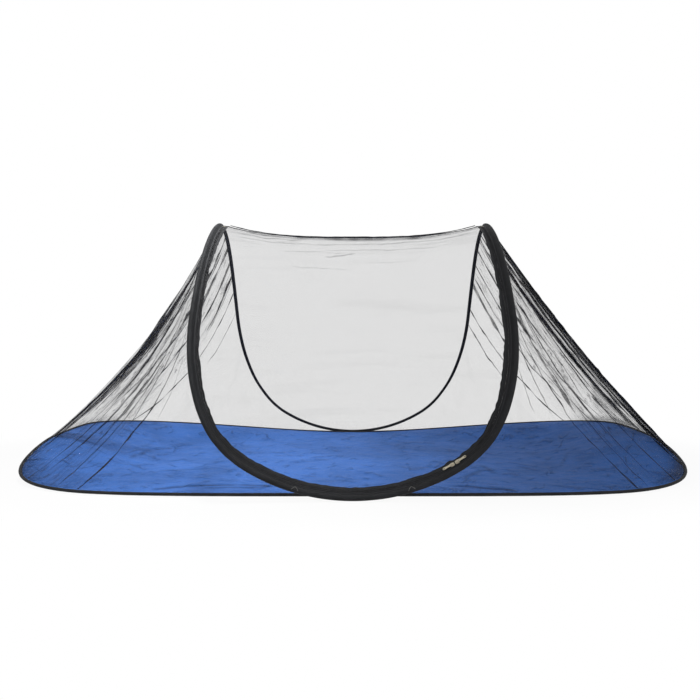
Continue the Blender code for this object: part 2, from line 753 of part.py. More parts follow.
def make_stops(end_share):
    """Metal stops at both ends of both rows of teeth."""
    step = hoop_place(end_share + SLOPE_STEP_SHARE, 1, -1) - hoop_place(end_share, 1, -1)
    pace = step.length / SLOPE_STEP_SHARE
    ends = (GAP, GAP + STOP_LENGTH)
    for label, side in (("left", -1), ("right", 1)):
        frames = [hoop_frame(end_share + along / pace, side, -1) for along in ends]
        outline = rectangle(BAND_FRAME_TEETH, BAND_FRAME_TEETH + TEETH_WIDTH, STOP_THICKNESS)
        sweep("zip_stop_frame_" + label, frames, outline, "zip_metal")
        outline = rectangle(BAND_DOOR_TEETH, BAND_DOOR_TEETH + TEETH_WIDTH, STOP_THICKNESS)
        sweep("zip_stop_door_" + label, frames, outline, "zip_metal", origin=DOOR_HINGE)


def make_door():
    """Door net and its top hem, which swing about the ridge."""
    make_span_net("door_net", -1, BAND_INNER + NET_GAP, DOOR_TOP_DEPTH, DOOR_HINGE)
    hem_half = PEAK_ACROSS - BAND_INNER - GAP
    make_ridge_strip("door_top_hem", -HEM_DEPTH, HEM_WIDTH, hem_half, "binding", DOOR_HINGE)


# Sliders
def extrude_outline(outline, thickness, along, across, up, centre):
    """Solid of an outline in the along-up plane, thick in the across direction."""
    bm = bmesh.new()
    half = thickness / 2
    faces = []
    for offset in (-half, half):
        loop = [bm.verts.new(centre + along * u + up * v + across * offset) for u, v in outline]
        faces.append(loop)
        bm.faces.new(loop)
    bridge(bm, faces[0], faces[1])
    return bm


def boolean(made, tool, operation):
    """Apply a Boolean with a helper object, which is then removed."""
    modifier = made.modifiers.new("shape", "BOOLEAN")
    modifier.object = tool
    modifier.operation = operation
    modifier.solver = "EXACT"
    bpy.context.view_layer.update()
    graph = bpy.context.evaluated_depsgraph_get()
    shaped = bpy.data.meshes.new_from_object(made.evaluated_get(graph))
    made.modifiers.clear()
    old = made.data
    made.data = shaped
    bpy.data.meshes.remove(old)
    bpy.data.objects.remove(tool, do_unlink=True)


def slider_frame(offset):
    """Frame on the zip's slit, a distance along the band from the sliders' meeting place."""
    share = share_at_distance(bend_length(1) + offset)
    point, tangent, across, normal = hoop_frame(share, 1, -1)
    return point + across * BAND_SLIT, tangent, across, normal


def bend_centre(index):
    """World point on the axis of one of the hoop's bends, in the front plane."""
    radius, _ = HOOP_BENDS[index]
    across, height, heading = front_view(bend_length(index))
    return Vector((across - radius * sin(heading), -FRONT_REACH, height + radius * cos(heading)))


def slider_outline():
    """H section of a slider: two plates joined by a blade through the slit."""
    wide = SLIDER_WIDTH / 2
    blade = SLIDER_BLADE / 2
    inner = TEETH_THICKNESS / 2 + SLIDER_CLEARANCE
    outer = inner + SLIDER_PLATE
    right = [(wide, -outer), (wide, -inner), (blade, -inner), (blade, inner), (wide, inner), (wide, outer)]
    return right + [(-u, -v) for u, v in right]


def bail_outline(base):
    """Arch over the slider that holds the pull tab, standing on the top plate."""
    half = BAIL_LENGTH / 2
    top = base + BAIL_HEIGHT
    foot = base - SLIDER_PLATE / 2
    outer = [(-half, foot), (-half, top - BAIL_BAR), (-half + BAIL_BAR, top)]
    outer += [(half - BAIL_BAR, top), (half, top - BAIL_BAR), (half, foot)]
    inner = [(half - BAIL_BAR, foot), (half - BAIL_BAR, top - BAIL_BAR)]
    inner += [(-half + BAIL_BAR, top - BAIL_BAR), (-half + BAIL_BAR, foot)]
    return outer + inner


def make_slider(label, direction, bend):
    """Slider with its bail, and the pull tab that lies away from the other slider."""
    point, tangent, across, normal = slider_frame(direction * SLIDER_SPACING)
    axis = bend_centre(bend)
    half = SLIDER_LENGTH / 2
    frames = [(point + tangent * place, tangent, across, normal) for place in (-half, half)]
    body = sweep("zip_slider_" + label, frames, slider_outline(), "zip_metal", origin=axis)
    base = TEETH_THICKNESS / 2 + SLIDER_CLEARANCE + SLIDER_PLATE
    bm = extrude_outline(bail_outline(base), BAIL_WIDTH, tangent, across, normal, point)
    bail = add_object("bail", bm, "zip_metal", axis)
    boolean(body, bail, "UNION")
    lift = base + BAIL_HEIGHT - BAIL_BAR - PULL_CLEARANCE - PULL_THICKNESS / 2
    make_pull(label, point + normal * lift, tangent * direction, across, normal)


def make_pull(label, centre, along, across, up):
    """Pull tab: a cross bar under the bail, two arms, and a rounded plate with a hole."""
    half = PULL_WIDTH / 2
    bar = PULL_BAR / 2
    slot = BAIL_WIDTH / 2 + PULL_CLEARANCE
    tail = PULL_LENGTH - half
    outline = [(-bar, -half)]
    outline += [(tail + u, v) for u, v in circle(half, 9, -pi / 2, pi / 2, whole=False)]
    outline += [(-bar, half)]
    bm = extrude_outline(outline, PULL_THICKNESS, along, up, across, centre)
    pull = add_object("zip_pull_" + label, bm, "zip_metal", centre)
    slot_outline = [(bar, -slot), (PULL_SLOT, -slot), (PULL_SLOT, slot), (bar, slot)]
    hole_outline = [(tail + x, y) for x, y in circle(PULL_HOLE, 10)]
    for shape in (slot_outline, hole_outline):
        bm = extrude_outline(shape, PULL_THICKNESS + 2 * CUT_OVERRUN, along, up, across, centre)
        cutter = add_object("cutter", bm, "zip_metal", centre)
        boolean(pull, cutter, "DIFFERENCE")


def make_tent():
    """Every piece of the tent."""
    clear_scene()
    make_wires()
    make_ferrules()
    make_sleeves()
    make_floor_binding()
    make_floor()
    make_nets()
    make_door()
    make_zip()
    make_slider("lower", -1, 0)
    make_slider("upper", 1, 1)


make_tent()
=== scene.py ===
"""Looks of a pop-up mosquito net tent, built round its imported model.

Metres, +Z up, +X along the tent, the zipped door faces -Y.
"""

from math import asin, atan, atan2, cos, pi, radians, sin, sqrt

import bmesh
import bpy
import numpy as np
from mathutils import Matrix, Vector, noise


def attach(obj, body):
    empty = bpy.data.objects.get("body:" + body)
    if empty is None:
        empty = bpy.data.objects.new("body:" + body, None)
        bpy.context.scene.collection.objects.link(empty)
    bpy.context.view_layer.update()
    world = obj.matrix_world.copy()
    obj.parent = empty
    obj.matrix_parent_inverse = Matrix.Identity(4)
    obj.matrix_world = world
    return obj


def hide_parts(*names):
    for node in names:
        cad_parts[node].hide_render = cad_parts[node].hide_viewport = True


bl_info = {
    "name": "Mosquito net tent",
    "version": (1, 0, 0),
    "blender": (4, 5, 0),
    "location": "3D View > Sidebar > Tent",
    "description": "Builds the cloth, net, zip and stage of a pop-up mosquito net tent",
    "category": "Add Mesh",
}

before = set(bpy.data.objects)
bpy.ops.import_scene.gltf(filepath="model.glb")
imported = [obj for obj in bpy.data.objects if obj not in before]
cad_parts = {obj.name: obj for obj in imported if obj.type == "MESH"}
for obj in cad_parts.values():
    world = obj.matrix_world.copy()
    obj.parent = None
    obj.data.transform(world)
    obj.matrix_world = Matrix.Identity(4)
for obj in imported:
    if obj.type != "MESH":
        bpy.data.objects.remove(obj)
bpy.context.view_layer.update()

# Overall size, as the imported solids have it
LENGTH = 1.980
FLOOR_WIDTH = 0.990
PEAK_HEIGHT = 0.765
GAP = 0.0004
BINDING_RADIUS = 0.0055
FRONT_SLEEVE_RADIUS = 0.0075
REAR_SLEEVE_RADIUS = 0.0055
FRONT_FLANGE = 0.0100
REAR_FLANGE = 0.0075

# Hoop seen from the front: bend radii, and headings in degrees
HOOP_BENDS = ((0.520, 31.0), (0.290, 54.0), (0.380, 69.0), (0.560, 81.0), (0.700, 90.0))
PLANAR_BEND_COUNT = 2
TOP_BEND_RADIUS = 4.200
HOOP_FOOT_HEIGHT = 0.0085
FRONT_REACH = 0.535
REAR_REACH = 0.5009
RISE_POWER = 1.18
REACH_POWER = 1.82
PLANAR_SHARE = 0.30
SLOPE_STEP_SHARE = 0.001
BAND_LEAN = radians(45.0)
BAND_LEAN_POWER = 2.5

# Floor ring
RING_SQUARENESS = 4.4
RING_LIFT = 0.070
LIFT_START = radians(-53.0)
LIFT_FALL = radians(25.0)
RING_HALF_LENGTH = LENGTH / 2 - BINDING_RADIUS
RING_HALF_WIDTH = FLOOR_WIDTH / 2 - BINDING_RADIUS
RING_HEIGHT = 0.0060
RING_STEP = 0.002

# Across the front band, from the wire towards the door
FRAME_TAPE = (0.0088, 0.01938)
FRAME_TEETH = (0.0156, 0.0191)
SLIT = 0.0194
DOOR_TEETH = (0.0197, 0.0232)
DOOR_TAPE = (0.01942, 0.0320)
TAPE_THICKNESS = 0.0010
TAPE_DROP = 0.0004
ZIP_END_SHARE = 0.93
DOOR_NARROWING = 0.0065
DOOR_BUMPS = (-0.014, 0.034)
DOOR_BUMP_DEPTH = 0.0026
DOOR_BUMP_HALF = 0.011
NOTCH_HALF_LENGTH = 0.041

# Seams, hems and nets
SEAM_WIDTH = 0.010
RIDGE_WIDTH = 0.008
RIDGE_SAG = 0.037
RIDGE_SAG_POWER = 6
RIDGE_FLATNESS = 3
LEFT_SEAM_SAG = 0.045
RIGHT_SEAM_SAG = 0.017
NET_HOLLOW_SHARE = 0.045
PULL_START_SHARE = 0.25
PULL_RUN_SHARE = 0.60
HEM_WIDTH = 0.008
HEM_DEPTH = 0.0088
REAR_TOP_DEPTH = 0.0054
DOOR_TOP_DEPTH = 0.0142
FRONT_SPLIT = 0.001
REAR_SPLIT = 0.130
NET_START = 0.060
NET_BOW = 0.075
FOLD_DEPTH = 0.008
FOLD_COUNT = 5
FOLD_START_SHARE = 0.45
FOLD_EASE_SHARE = 0.35
FOLD_END_SHARE = 0.04
CORNER_GATHER_SHARE = 0.25
CORNER_GATHER_POWER = 6
PLEAT_PITCH_SHARE = 0.0075
PLEAT_STEP_SHARE = 0.0019
PLEAT_DEPTH = 0.0045
PLEAT_FOOT_START = 0.72
PLEAT_FOOT_RUN = 0.20
PLAIN_STEP_SHARE = 0.014
NET_ROWS = 56
NET_LINES = 220
NET_TOP_SPAN = 1.05
NET_FOOT_SPAN = 1.45
NET_MAP_WIDTH = 1.2
NET_MAP_HEIGHT = 0.9

# Floor cloth
FLOOR_TURNS = 540
FLOOR_RINGS = 84
FLOOR_CENTRE_SHARE = 0.004
FLOOR_INSET = 0.0033
FLOOR_CLEARANCE = 0.001
FLOOR_RISE_START = 0.62
FLOOR_CALM_SHARE = 0.03
FLOOR_THICKNESS = 0.0006

# Tapes and sleeves, and how many steps each is made of
BINDING_TUCK = 0.80
BINDING_STEPS = 520
SLEEVE_TUCK = 0.97
SLEEVE_STEPS = 170
SLEEVE_END_DEPTH = 0.001
SEAM_STEPS = 160
RIDGE_STEPS = 96
SEAM_THICKNESS = 0.0022
RIDGE_ROLL = 0.0030

# Zip: steps along its tapes, and its teeth
ZIP_TAPE_STEPS = 260
ZIP_FINE_STEPS = 1600
TOOTH_HALF_HEIGHT = 0.0011
TOOTH_SHARE = 0.62
TOOTH_SLANT = 0.25
TOOTH_SECTION = ((-0.5, -0.6), (0.5, -0.6), (0.5, 0.6), (0.0, 1.0), (-0.5, 0.6))

# Rear wall and door net
SPAN_COLUMNS = 120
SPAN_LOW_ROWS = 40
SPAN_HIGH_ROWS = 60
SPAN_FINE_START = 0.70
REAR_NET_TUCK = 0.003
DOOR_NET_TUCK = 0.005

# Zip sliders and pulls
SLIDER_OFFSET = 0.0075
PLATE_INNER = 0.0019
PLATE_OUTER = 0.0029
BLADE_TOP = 0.0020
BLADE_GAP_TOP = 0.0002
BLADE_GAP_FOOT = -0.0011
BAIL_HALF = 0.0040
BAIL_HALF_WIDTH = 0.0010
BAIL_FOOT = 0.0026
BAIL_SHOULDER = 0.0056
BAIL_TOP = 0.0063
BAIL_INSIDE = 0.0050
BAIL_BAR = 0.0011
PULL_PLAY = 0.0004
PULL_HALF_THICKNESS = 0.0006
PULL_HALF_WIDTH = 0.0034
PULL_LENGTH = 0.0270
PULL_HOLE = 0.0019
PULL_END = 0.00055
RAIL_LOW = 0.0014
RAIL_HIGH = 0.0021
PULL_SLOT_END = 0.0062

# Bar tacks
TACK_PLACES = ((-1, 0.148), (1, 0.150))
TACK_BLOCKS = 7
TACK_HALF_RUN = 0.0090
TACK_HALF_REACH = 0.0055
TACK_HALF_LENGTH = 0.0008
TACK_HALF_WIDTH = 0.0007
TACK_LIFT = 0.0002
TACK_HALF_THICKNESS = 0.0003

# Studio
GROUND_HALF = 30.0
KEY_SPREAD = radians(42.0)
CAMERA_SHIFT = -0.00411

# Maps and marks of the meshes
CLOTH_MAP = "cloth"
LINE_MAP = "lines"
GATHER = "gather"
BUNCH = "bunch"
# mark of the painted shade along the floor's creases
CREASE_PAINTED_SHADE = "crease_painted_shade"


# Settings that a user would change
class TentSizes(bpy.types.PropertyGroup):
    """Sizes of the cloth's detail."""

    tuck_layer: bpy.props.FloatProperty(
        name="Tuck layer",
        description="How far the layers of a tucked net lie apart",
        default=0.0012,
        min=0.0002,
        unit="LENGTH",
    )
    net_pitch: bpy.props.FloatProperty(
        name="Mesh pitch",
        description="Distance between the holes of the net",
        default=0.0016,
        min=0.0005,
        unit="LENGTH",
    )
    net_cover: bpy.props.FloatProperty(
        name="Thread share",
        description="Share of the net that is thread",
        default=0.155,
        min=0.0,
        max=1.0,
        subtype="FACTOR",
    )
    stitch_length: bpy.props.FloatProperty(
        name="Stitch length",
        description="Length of one stitch along the tapes",
        default=0.0030,
        min=0.0010,
        unit="LENGTH",
    )
    coil_pitch: bpy.props.FloatProperty(
        name="Coil pitch",
        description="Distance between two teeth of the zip",
        default=0.0026,
        min=0.0010,
        unit="LENGTH",
    )
    floor_wrinkle: bpy.props.FloatProperty(
        name="Floor wrinkles",
        description="Height of the creases in the floor cloth",
        default=0.0030,
        min=0.0,
        unit="LENGTH",
    )


class TentColours(bpy.types.PropertyGroup):
    """Colours of the tent's finishes."""

    floor: bpy.props.FloatVectorProperty(
        name="Floor cloth",
        description="Blue polyester",
        subtype="COLOR",
        default=(0.066, 0.190, 0.590),
    )
    net: bpy.props.FloatVectorProperty(
        name="Net",
        description="Black thread of the net",
        subtype="COLOR",
        default=(0.024, 0.024, 0.027),
    )
    tape: bpy.props.FloatVectorProperty(
        name="Tape",
        description="Black binding and sleeves",
        subtype="COLOR",
        default=(0.0135, 0.0140, 0.0155),
    )
    coil: bpy.props.FloatVectorProperty(
        name="Zip coil",
        description="Black nylon teeth",
        subtype="COLOR",
        default=(0.018, 0.018, 0.020),
    )
    metal: bpy.props.FloatVectorProperty(
        name="Zip metal",
        description="Pale plated sliders and pulls",
        subtype="COLOR",
        default=(0.52, 0.47, 0.36),
    )
    steel: bpy.props.FloatVectorProperty(
        name="Spring steel",
        description="Wires and ferrules",
        subtype="COLOR",
        default=(0.42, 0.42, 0.44),
    )
    stitch: bpy.props.FloatVectorProperty(
        name="Bar tacks",
        description="Pale sewing thread",
        subtype="COLOR",
        default=(0.15, 0.15, 0.145),
    )


class TentStage(bpy.types.PropertyGroup):
    """Floor, lamps and camera."""

    ground: bpy.props.FloatVectorProperty(
        name="Ground", description="Pale studio floor", subtype="COLOR", default=(0.80, 0.80, 0.80)
    )
    key_power: bpy.props.FloatProperty(
        name="Key lamp", description="Power of the main lamp in watts", default=3.9, min=0.0
    )
    fill_power: bpy.props.FloatProperty(
        name="Fill lamp", description="Power of the second lamp in watts", default=24.0, min=0.0
    )
    sky: bpy.props.FloatProperty(
        name="Sky", description="Strength of the even light from all round", default=0.50, min=0.0
    )
    camera_distance: bpy.props.FloatProperty(
        name="Camera distance", description="From the tent's middle", default=2.267, unit="LENGTH"
    )
    camera_height: bpy.props.FloatProperty(
        name="Camera height", description="Above the ground", default=0.468, unit="LENGTH"
    )
    camera_pitch: bpy.props.FloatProperty(
        name="Camera pitch", description="Angle below the horizon", default=0.0476, subtype="ANGLE"
    )
    lens: bpy.props.FloatProperty(
        name="Lens", description="Focal length in millimetres on a 36 mm sensor", default=35.486
    )


def sizes():
    return bpy.context.scene.tent_sizes


def colours():
    return bpy.context.scene.tent_colours


# Curves of the hoop and the floor ring
def smooth_step(value):
    value = min(max(value, 0.0), 1.0)
    return value * value * (3.0 - 2.0 * value)


def run_along(points):
    """Length covered at each point of a line."""
    return np.cumsum([0.0] + [(b - a).length for a, b in zip(points, points[1:])])


def evenly(place, fine, count):
    """Values spaced evenly along the line that place() draws through the fine ones."""
    run = run_along([place(value) for value in fine])
    return list(np.interp(np.linspace(0.0, run[-1], count + 1), run, fine))


def bend_length(count):
    """Length of the first bends of the hoop, up from its foot."""
    length = 0.0
    heading = 0.0
    for radius, end in HOOP_BENDS[:count]:
        length += radius * (radians(end) - heading)
        heading = radians(end)
    return length


def front_view(distance):
    """Sideways place, height and heading of the hoop, a distance up from its foot."""
    across = 0.0
    height = HOOP_FOOT_HEIGHT
    heading = 0.0
    for radius, end in HOOP_BENDS + ((TOP_BEND_RADIUS, 180.0),):
        turn = min(distance / radius, radians(end) - heading)
        across += radius * (sin(heading + turn) - sin(heading))
        height += radius * (cos(heading) - cos(heading + turn))
        heading += turn
        distance -= radius * turn
        if distance <= 0.0:
            break
    return across, height, heading


PLANAR_LENGTH = bend_length(PLANAR_BEND_COUNT)
PLANAR_HEIGHT = front_view(PLANAR_LENGTH)[1]
BENDS_LENGTH = bend_length(len(HOOP_BENDS))
TOP_BEND_ANGLE = asin((PEAK_HEIGHT - front_view(BENDS_LENGTH)[1]) / TOP_BEND_RADIUS)
QUARTER_LENGTH = BENDS_LENGTH + TOP_BEND_RADIUS * TOP_BEND_ANGLE
PEAK_ACROSS = front_view(QUARTER_LENGTH)[0]


def hoop_distance(share):
    if share <= PLANAR_SHARE:
        return PLANAR_LENGTH * share / PLANAR_SHARE
    upper = (share - PLANAR_SHARE) / (1.0 - PLANAR_SHARE)
    return PLANAR_LENGTH + (QUARTER_LENGTH - PLANAR_LENGTH) * sin(upper * pi / 2)


def hoop_rise(height):
    return min(max((height - PLANAR_HEIGHT) / (PEAK_HEIGHT - PLANAR_HEIGHT), 0.0), 1.0)


def hoop_place(share, side, end):
    """Point of the hoop wire; side is +1 or -1 along X, end is -1 front or +1 rear."""
    across, height, _ = front_view(hoop_distance(share))
    reach = FRONT_REACH if end < 0 else REAR_REACH
    draw_in = (1.0 - hoop_rise(height) ** RISE_POWER) ** (1.0 / REACH_POWER)
    return Vector((side * across, end * reach * draw_in, height))


def hoop_frame(share, side, end):
    """Point, tangent, direction across the band towards the net, and outward normal."""
    low = min(max(share - SLOPE_STEP_SHARE, 0.0), 1.0 - SLOPE_STEP_SHARE)
    step = hoop_place(low + SLOPE_STEP_SHARE, side, end) - hoop_place(low, side, end)
    tangent = step.normalized()
    _, height, heading = front_view(hoop_distance(share))
    lean = BAND_LEAN * (1.0 - hoop_rise(height)) ** BAND_LEAN_POWER
    inward = Vector((-side * sin(heading) * cos(lean), -end * sin(lean), cos(heading) * cos(lean)))
    inward = (inward - tangent * inward.dot(tangent)).normalized()
    normal = tangent.cross(inward).normalized()
    if normal.y * end + normal.z < 0.0:
        normal.negate()
    return hoop_place(share, side, end), tangent, inward, normal


def share_at_depth(depth, end):
    """Share of the hoop quarter where the wire is this far from the ridge plane."""
    low = PLANAR_SHARE
    high = 1.0
    for _ in range(50):
        middle = (low + high) / 2
        if abs(hoop_place(middle, 1, end).y) > depth:
            low = middle
        else:
            high = middle
    return low


def share_at_distance(distance):
    return PLANAR_SHARE * distance / PLANAR_LENGTH


def share_at_across(across):
    radius = HOOP_BENDS[0][0]
    return share_at_distance(radius * asin(across / radius))


def hoop_shares(top_share, count):
    """Shares of one half of the hoop, evenly along its wire, up to its own top."""
    fine = [top_share * index / (8 * count) for index in range(8 * count + 1)]
    return evenly(lambda share: hoop_place(share, 1, -1), fine, count)


def half_hoop(end, top_share, count):
    """Frames from the left peak down through the foot to the right peak."""
    shares = hoop_shares(top_share, count)
    left = [(-share, hoop_frame(share, -1, end)) for share in reversed(shares)]
    right = [(share, hoop_frame(share, 1, end)) for share in shares[1:]]
    return left + right


def ring_lift(turn):
    turn = atan2(sin(turn), abs(cos(turn)))
    if turn < 0.0:
        return RING_LIFT * smooth_step((turn - LIFT_START) / -LIFT_START)
    return RING_LIFT * (1.0 - smooth_step((turn - LIFT_FALL) / (pi / 2 - LIFT_FALL)))


def ring_plan(turn, half_length, half_width):
    size = abs(cos(turn)) ** RING_SQUARENESS + abs(sin(turn)) ** RING_SQUARENESS
    grow = size ** (-1.0 / RING_SQUARENESS)
    return half_length * cos(turn) * grow, half_width * sin(turn) * grow


def ring_place(turn):
    x, y = ring_plan(turn, RING_HALF_LENGTH, RING_HALF_WIDTH)
    return Vector((x, y, RING_HEIGHT + ring_lift(turn)))


def ring_turns(count):
    """Turns round the whole ring from the middle of its front, evenly along its wire."""
    fine = [-pi / 2 + 2 * pi * index / (6 * count) for index in range(6 * count + 1)]
    return evenly(ring_place, fine, count)


def ring_frame(turn):
    """Point of the ring's wire, tangent, direction towards the cloth, and upward normal."""
    tangent = (ring_place(turn + RING_STEP) - ring_place(turn - RING_STEP)).normalized()
    inward = Vector((0.0, 0.0, 1.0)).cross(tangent).normalized()
    return ring_place(turn), tangent, inward, tangent.cross(inward).normalized()


# Meshes
def add_object(name, data):
    made = bpy.data.objects.new(name, data)
    bpy.context.scene.collection.objects.link(made)
    return made


def finish_mesh(name, bm, material, body, replaced=()):
    """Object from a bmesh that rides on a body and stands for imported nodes."""
    mesh = bpy.data.meshes.new(name)
    bm.normal_update()
    bm.to_mesh(mesh)
    bm.free()
    mesh.shade_smooth()
    mesh.materials.append(material)
    made = add_object(name, mesh)
    if replaced:
        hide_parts(*replaced)
    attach(made, body)
    return made


def grid_mesh(points, across, along, marks=None, lines=None, wrap=False, flip=False):
    """Bmesh over a grid of points, with a map in metres, marks at its points and a second map."""
    bm = bmesh.new()
    layer = bm.loops.layers.uv.new(CLOTH_MAP)
    line_layer = bm.loops.layers.uv.new(LINE_MAP) if lines else None
    marked = [(bm.verts.layers.float.new(name), values) for name, values in (marks or {}).items()]
    grid = []
    for row_index, row in enumerate(points):
        verts = []
        for column, point in enumerate(row):
            vert = bm.verts.new(point)
            for mark, values in marked:
                vert[mark] = values[row_index][column]
            verts.append(vert)
        grid.append(verts)
    rows = len(grid)
    columns = len(grid[0])
    for row in range(rows - 1):
        for column in range(columns if wrap else columns - 1):
            after = (column + 1) % columns
            corners = [(row, column), (row, after), (row + 1, after), (row + 1, column)]
            if flip:
                corners.reverse()
            face = bm.faces.new([grid[r][c] for r, c in corners])
            for loop, (r, c) in zip(face.loops, corners):
                place = columns if wrap and c == 0 and column == columns - 1 else c
                loop[layer].uv = (across[r][place], along[r][place])
                if lines:
                    loop[line_layer].uv = lines[r][place]
    return bm


def tube_mesh(frames, outlines, closed=False):
    """Bmesh of outlines swept along frames, with a map in metres: u along, v round."""
    points = []
    for (point, _, across, normal), outline in zip(frames, outlines):
        points.append([point + across * u + normal * v for u, v in outline])
    if closed:
        points.append(points[0])
    around = run_along([Vector(place) for place in outlines[0] + outlines[0][:1]])
    u = [[length] * len(around) for length in run_along([row[0] for row in points])]
    bm = grid_mesh(points, u, [around] * len(points), wrap=True)
    if closed:
        bmesh.ops.remove_doubles(bm, verts=bm.verts, dist=1e-7)
    else:
        bm.verts.ensure_lookup_table()
        count = len(outlines[0])
        bm.faces.new(list(reversed(bm.verts[:count])))
        bm.faces.new(bm.verts[-count:])
    bmesh.ops.recalc_face_normals(bm, faces=bm.faces)
    return bm


def loft(bm, rings):
    """Faces of a closed skin over rings of places, with a flat face at each end."""
    made = [[bm.verts.new(place) for place in ring] for ring in rings]
    count = len(made[0])
    faces = []
    for first, second in zip(made, made[1:]):
        for index in range(count):
            after = (index + 1) % count
            faces.append(bm.faces.new((first[index], first[after], second[after], second[index])))
    faces.append(bm.faces.new(list(reversed(made[0]))))
    faces.append(bm.faces.new(made[-1]))
    return faces


def seam_line(side):
    """Straight line of an end seam, from the peak to the ring's end, and its outward normal."""
    peak = hoop_place(1.0, side, -1)
    base = ring_place(0.0)
    base.x *= side
    down = (base - peak).normalized()
    normal = down.cross(Vector((0.0, side, 0.0)))
    return peak + down * (FRONT_SLEEVE_RADIUS + GAP), base - down * (BINDING_RADIUS + GAP), down, normal


def seam_pull(side, down):
    """How far the cloth's pull draws an end seam off its straight line, a share down it."""
    sag = LEFT_SEAM_SAG if side < 0 else RIGHT_SEAM_SAG
    return seam_line(side)[3] * (-4.0 * sag * down * (1.0 - down))


def ridge_drop(along):
    """Share of the ridge's sag at a place along it, from -1 at one peak to 1 at the other."""
    return 1.0 - abs(along) ** RIDGE_FLATNESS


def rounded_strip(low, high, thickness):
    """Outline of a flat tape with rounded edges."""
    radius = thickness / 2
    angles = np.linspace(0.0, pi, 5)
    right = [(high - radius + radius * sin(angle), -radius * cos(angle)) for angle in angles]
    left = [(low + radius - radius * sin(angle), radius * cos(angle)) for angle in angles]
    middle = (low + high) / 2
    return [(middle, -radius)] + right + [(middle, radius)] + left


def wobble(place, size, seed):
    """Smooth pseudo-random number from -1 to 1 along a length."""
    return noise.noise(Vector((place / size, seed * 7.31, seed * 1.77)))


# Shader helpers
class Field:
    """Output of a shader node; a sum or a product of it adds the node for that."""

    def __init__(self, socket):
        self.socket = socket
        self.tree = socket.id_data

    def maths(self, operation, *values, clamp=False):
        inputs = dict(enumerate((self, *values)))
        return add_node(self.tree, "ShaderNodeMath", inputs, operation=operation, use_clamp=clamp)[0]

    def __add__(self, other):
        return self.maths("ADD", other)

    def __sub__(self, other):
        return self.maths("SUBTRACT", other)

    def __mul__(self, other):
        return self.maths("MULTIPLY", other)

    def __truediv__(self, other):
        return self.maths("DIVIDE", other)

    def __rtruediv__(self, number):
        return add_node(self.tree, "ShaderNodeMath", {0: number, 1: self}, operation="DIVIDE")[0]


class Fields:
    """Outputs of a shader node, by name or number."""

    def __init__(self, sockets):
        self.sockets = sockets

    def __getitem__(self, key):
        return Field(self.sockets[key])


def plug(socket, value):
    """Link a socket to a field, or set its constant."""
    if isinstance(value, Field):
        value.tree.links.new(value.socket, socket)
    else:
        socket.default_value = value


def add_node(tree, kind, inputs=None, **settings):
    """New node with its settings and inputs; gives its outputs."""
    made = tree.nodes.new(kind)
    for name, value in settings.items():
        setattr(made, name, value)
    for name, value in (inputs or {}).items():
        plug(made.inputs[name], value)
    return Fields(made.outputs)


def vector_maths(place, operation, inputs, output=0):
    inputs = {0: place, **inputs}
    return add_node(place.tree, "ShaderNodeVectorMath", inputs, operation=operation)[output]


def ramp(value, low, high, to_low=0.0, to_high=1.0):
    """Smooth step from one number to another, while a value goes from low to high."""
    inputs = {"Value": value, "From Min": low, "From Max": high, "To Min": to_low, "To Max": to_high}
    return add_node(value.tree, "ShaderNodeMapRange", inputs, interpolation_type="SMOOTHSTEP")["Result"]


def mix_colours(share, first, second):
    return add_node(share.tree, "ShaderNodeMix", {0: share, 6: first, 7: second}, data_type="RGBA")[2]


def noise_field(place, detail, roughness=0.5, distortion=0.0):
    """Smooth noise about 0.5 over a place."""
    inputs = {"Vector": place, "Scale": 1.0, "Detail": detail}
    inputs.update({"Roughness": roughness, "Distortion": distortion})
    return add_node(place.tree, "ShaderNodeTexNoise", inputs)["Fac"]


def in_units(place, size, count=1.0):
    """A place counted in units of a size."""
    return vector_maths(place, "SCALE", {"Scale": count / size})


def parts_of(place):
    return add_node(place.tree, "ShaderNodeSeparateXYZ", {"Vector": place})


def effect(*results, **numbers):
    """Turns a function of fields into a shader group, which is built when it is first used.

    The group takes a place in metres and some numbers, with their defaults, and gives results.
    """

    def wrap(build):
        def use(place, **given):
            group = bpy.data.node_groups.get(build.__name__)
            if group is None:
                group = bpy.data.node_groups.new(build.__name__, "ShaderNodeTree")
                add_socket = group.interface.new_socket
                add_socket("Place", in_out="INPUT", socket_type="NodeSocketVector")
                for label, default in numbers.items():
                    added = add_socket(label, in_out="INPUT", socket_type="NodeSocketFloat")
                    added.default_value = default
                for label in results:
                    add_socket(label, in_out="OUTPUT", socket_type="NodeSocketFloat")
                made = build(Fields(group.nodes.new("NodeGroupInput").outputs))
                ends = group.nodes.new("NodeGroupOutput").inputs
                for label, value in zip(results, made):
                    plug(ends[label], value)
            return add_node(place.tree, "ShaderNodeGroup", {"Place": place, **given}, node_tree=group)

        return use

    return wrap


@effect("Cover", "Height", Pitch=0.0016, Cover=0.15, Contrast=0.8)
def net_threads(given):
    """Honeycomb of fine thread: how much of the light it stops, and its relief."""
    parts = parts_of(given["Place"])
    turn = 2 * pi / given["Pitch"]
    x = parts["X"] * turn
    half = x * 0.5
    leg = parts["Y"] * turn * (sqrt(3.0) / 2)
    total = x.maths("COSINE") + (half + leg).maths("COSINE") + (half - leg).maths("COSINE")
    thread = ramp(total, -0.4, -1.2)
    shaped = (thread * 2.6 - 1.0) * given["Contrast"] + 1.0
    return given["Cover"].maths("MULTIPLY", shaped, clamp=True), thread


@effect("Mask", Spacing=0.006, Length=0.25, Amount=1.0)
def fold_streaks(given):
    """Fine lines along a net, where its threads lie closer together."""
    parts = parts_of(given["Place"])
    inputs = {"X": parts["X"] / given["Spacing"], "Y": parts["Y"] / given["Length"]}
    place = add_node(parts["X"].tree, "ShaderNodeCombineXYZ", inputs)[0]
    return (ramp(noise_field(place, 3.0, roughness=0.6), 0.52, 0.66) * given["Amount"],)


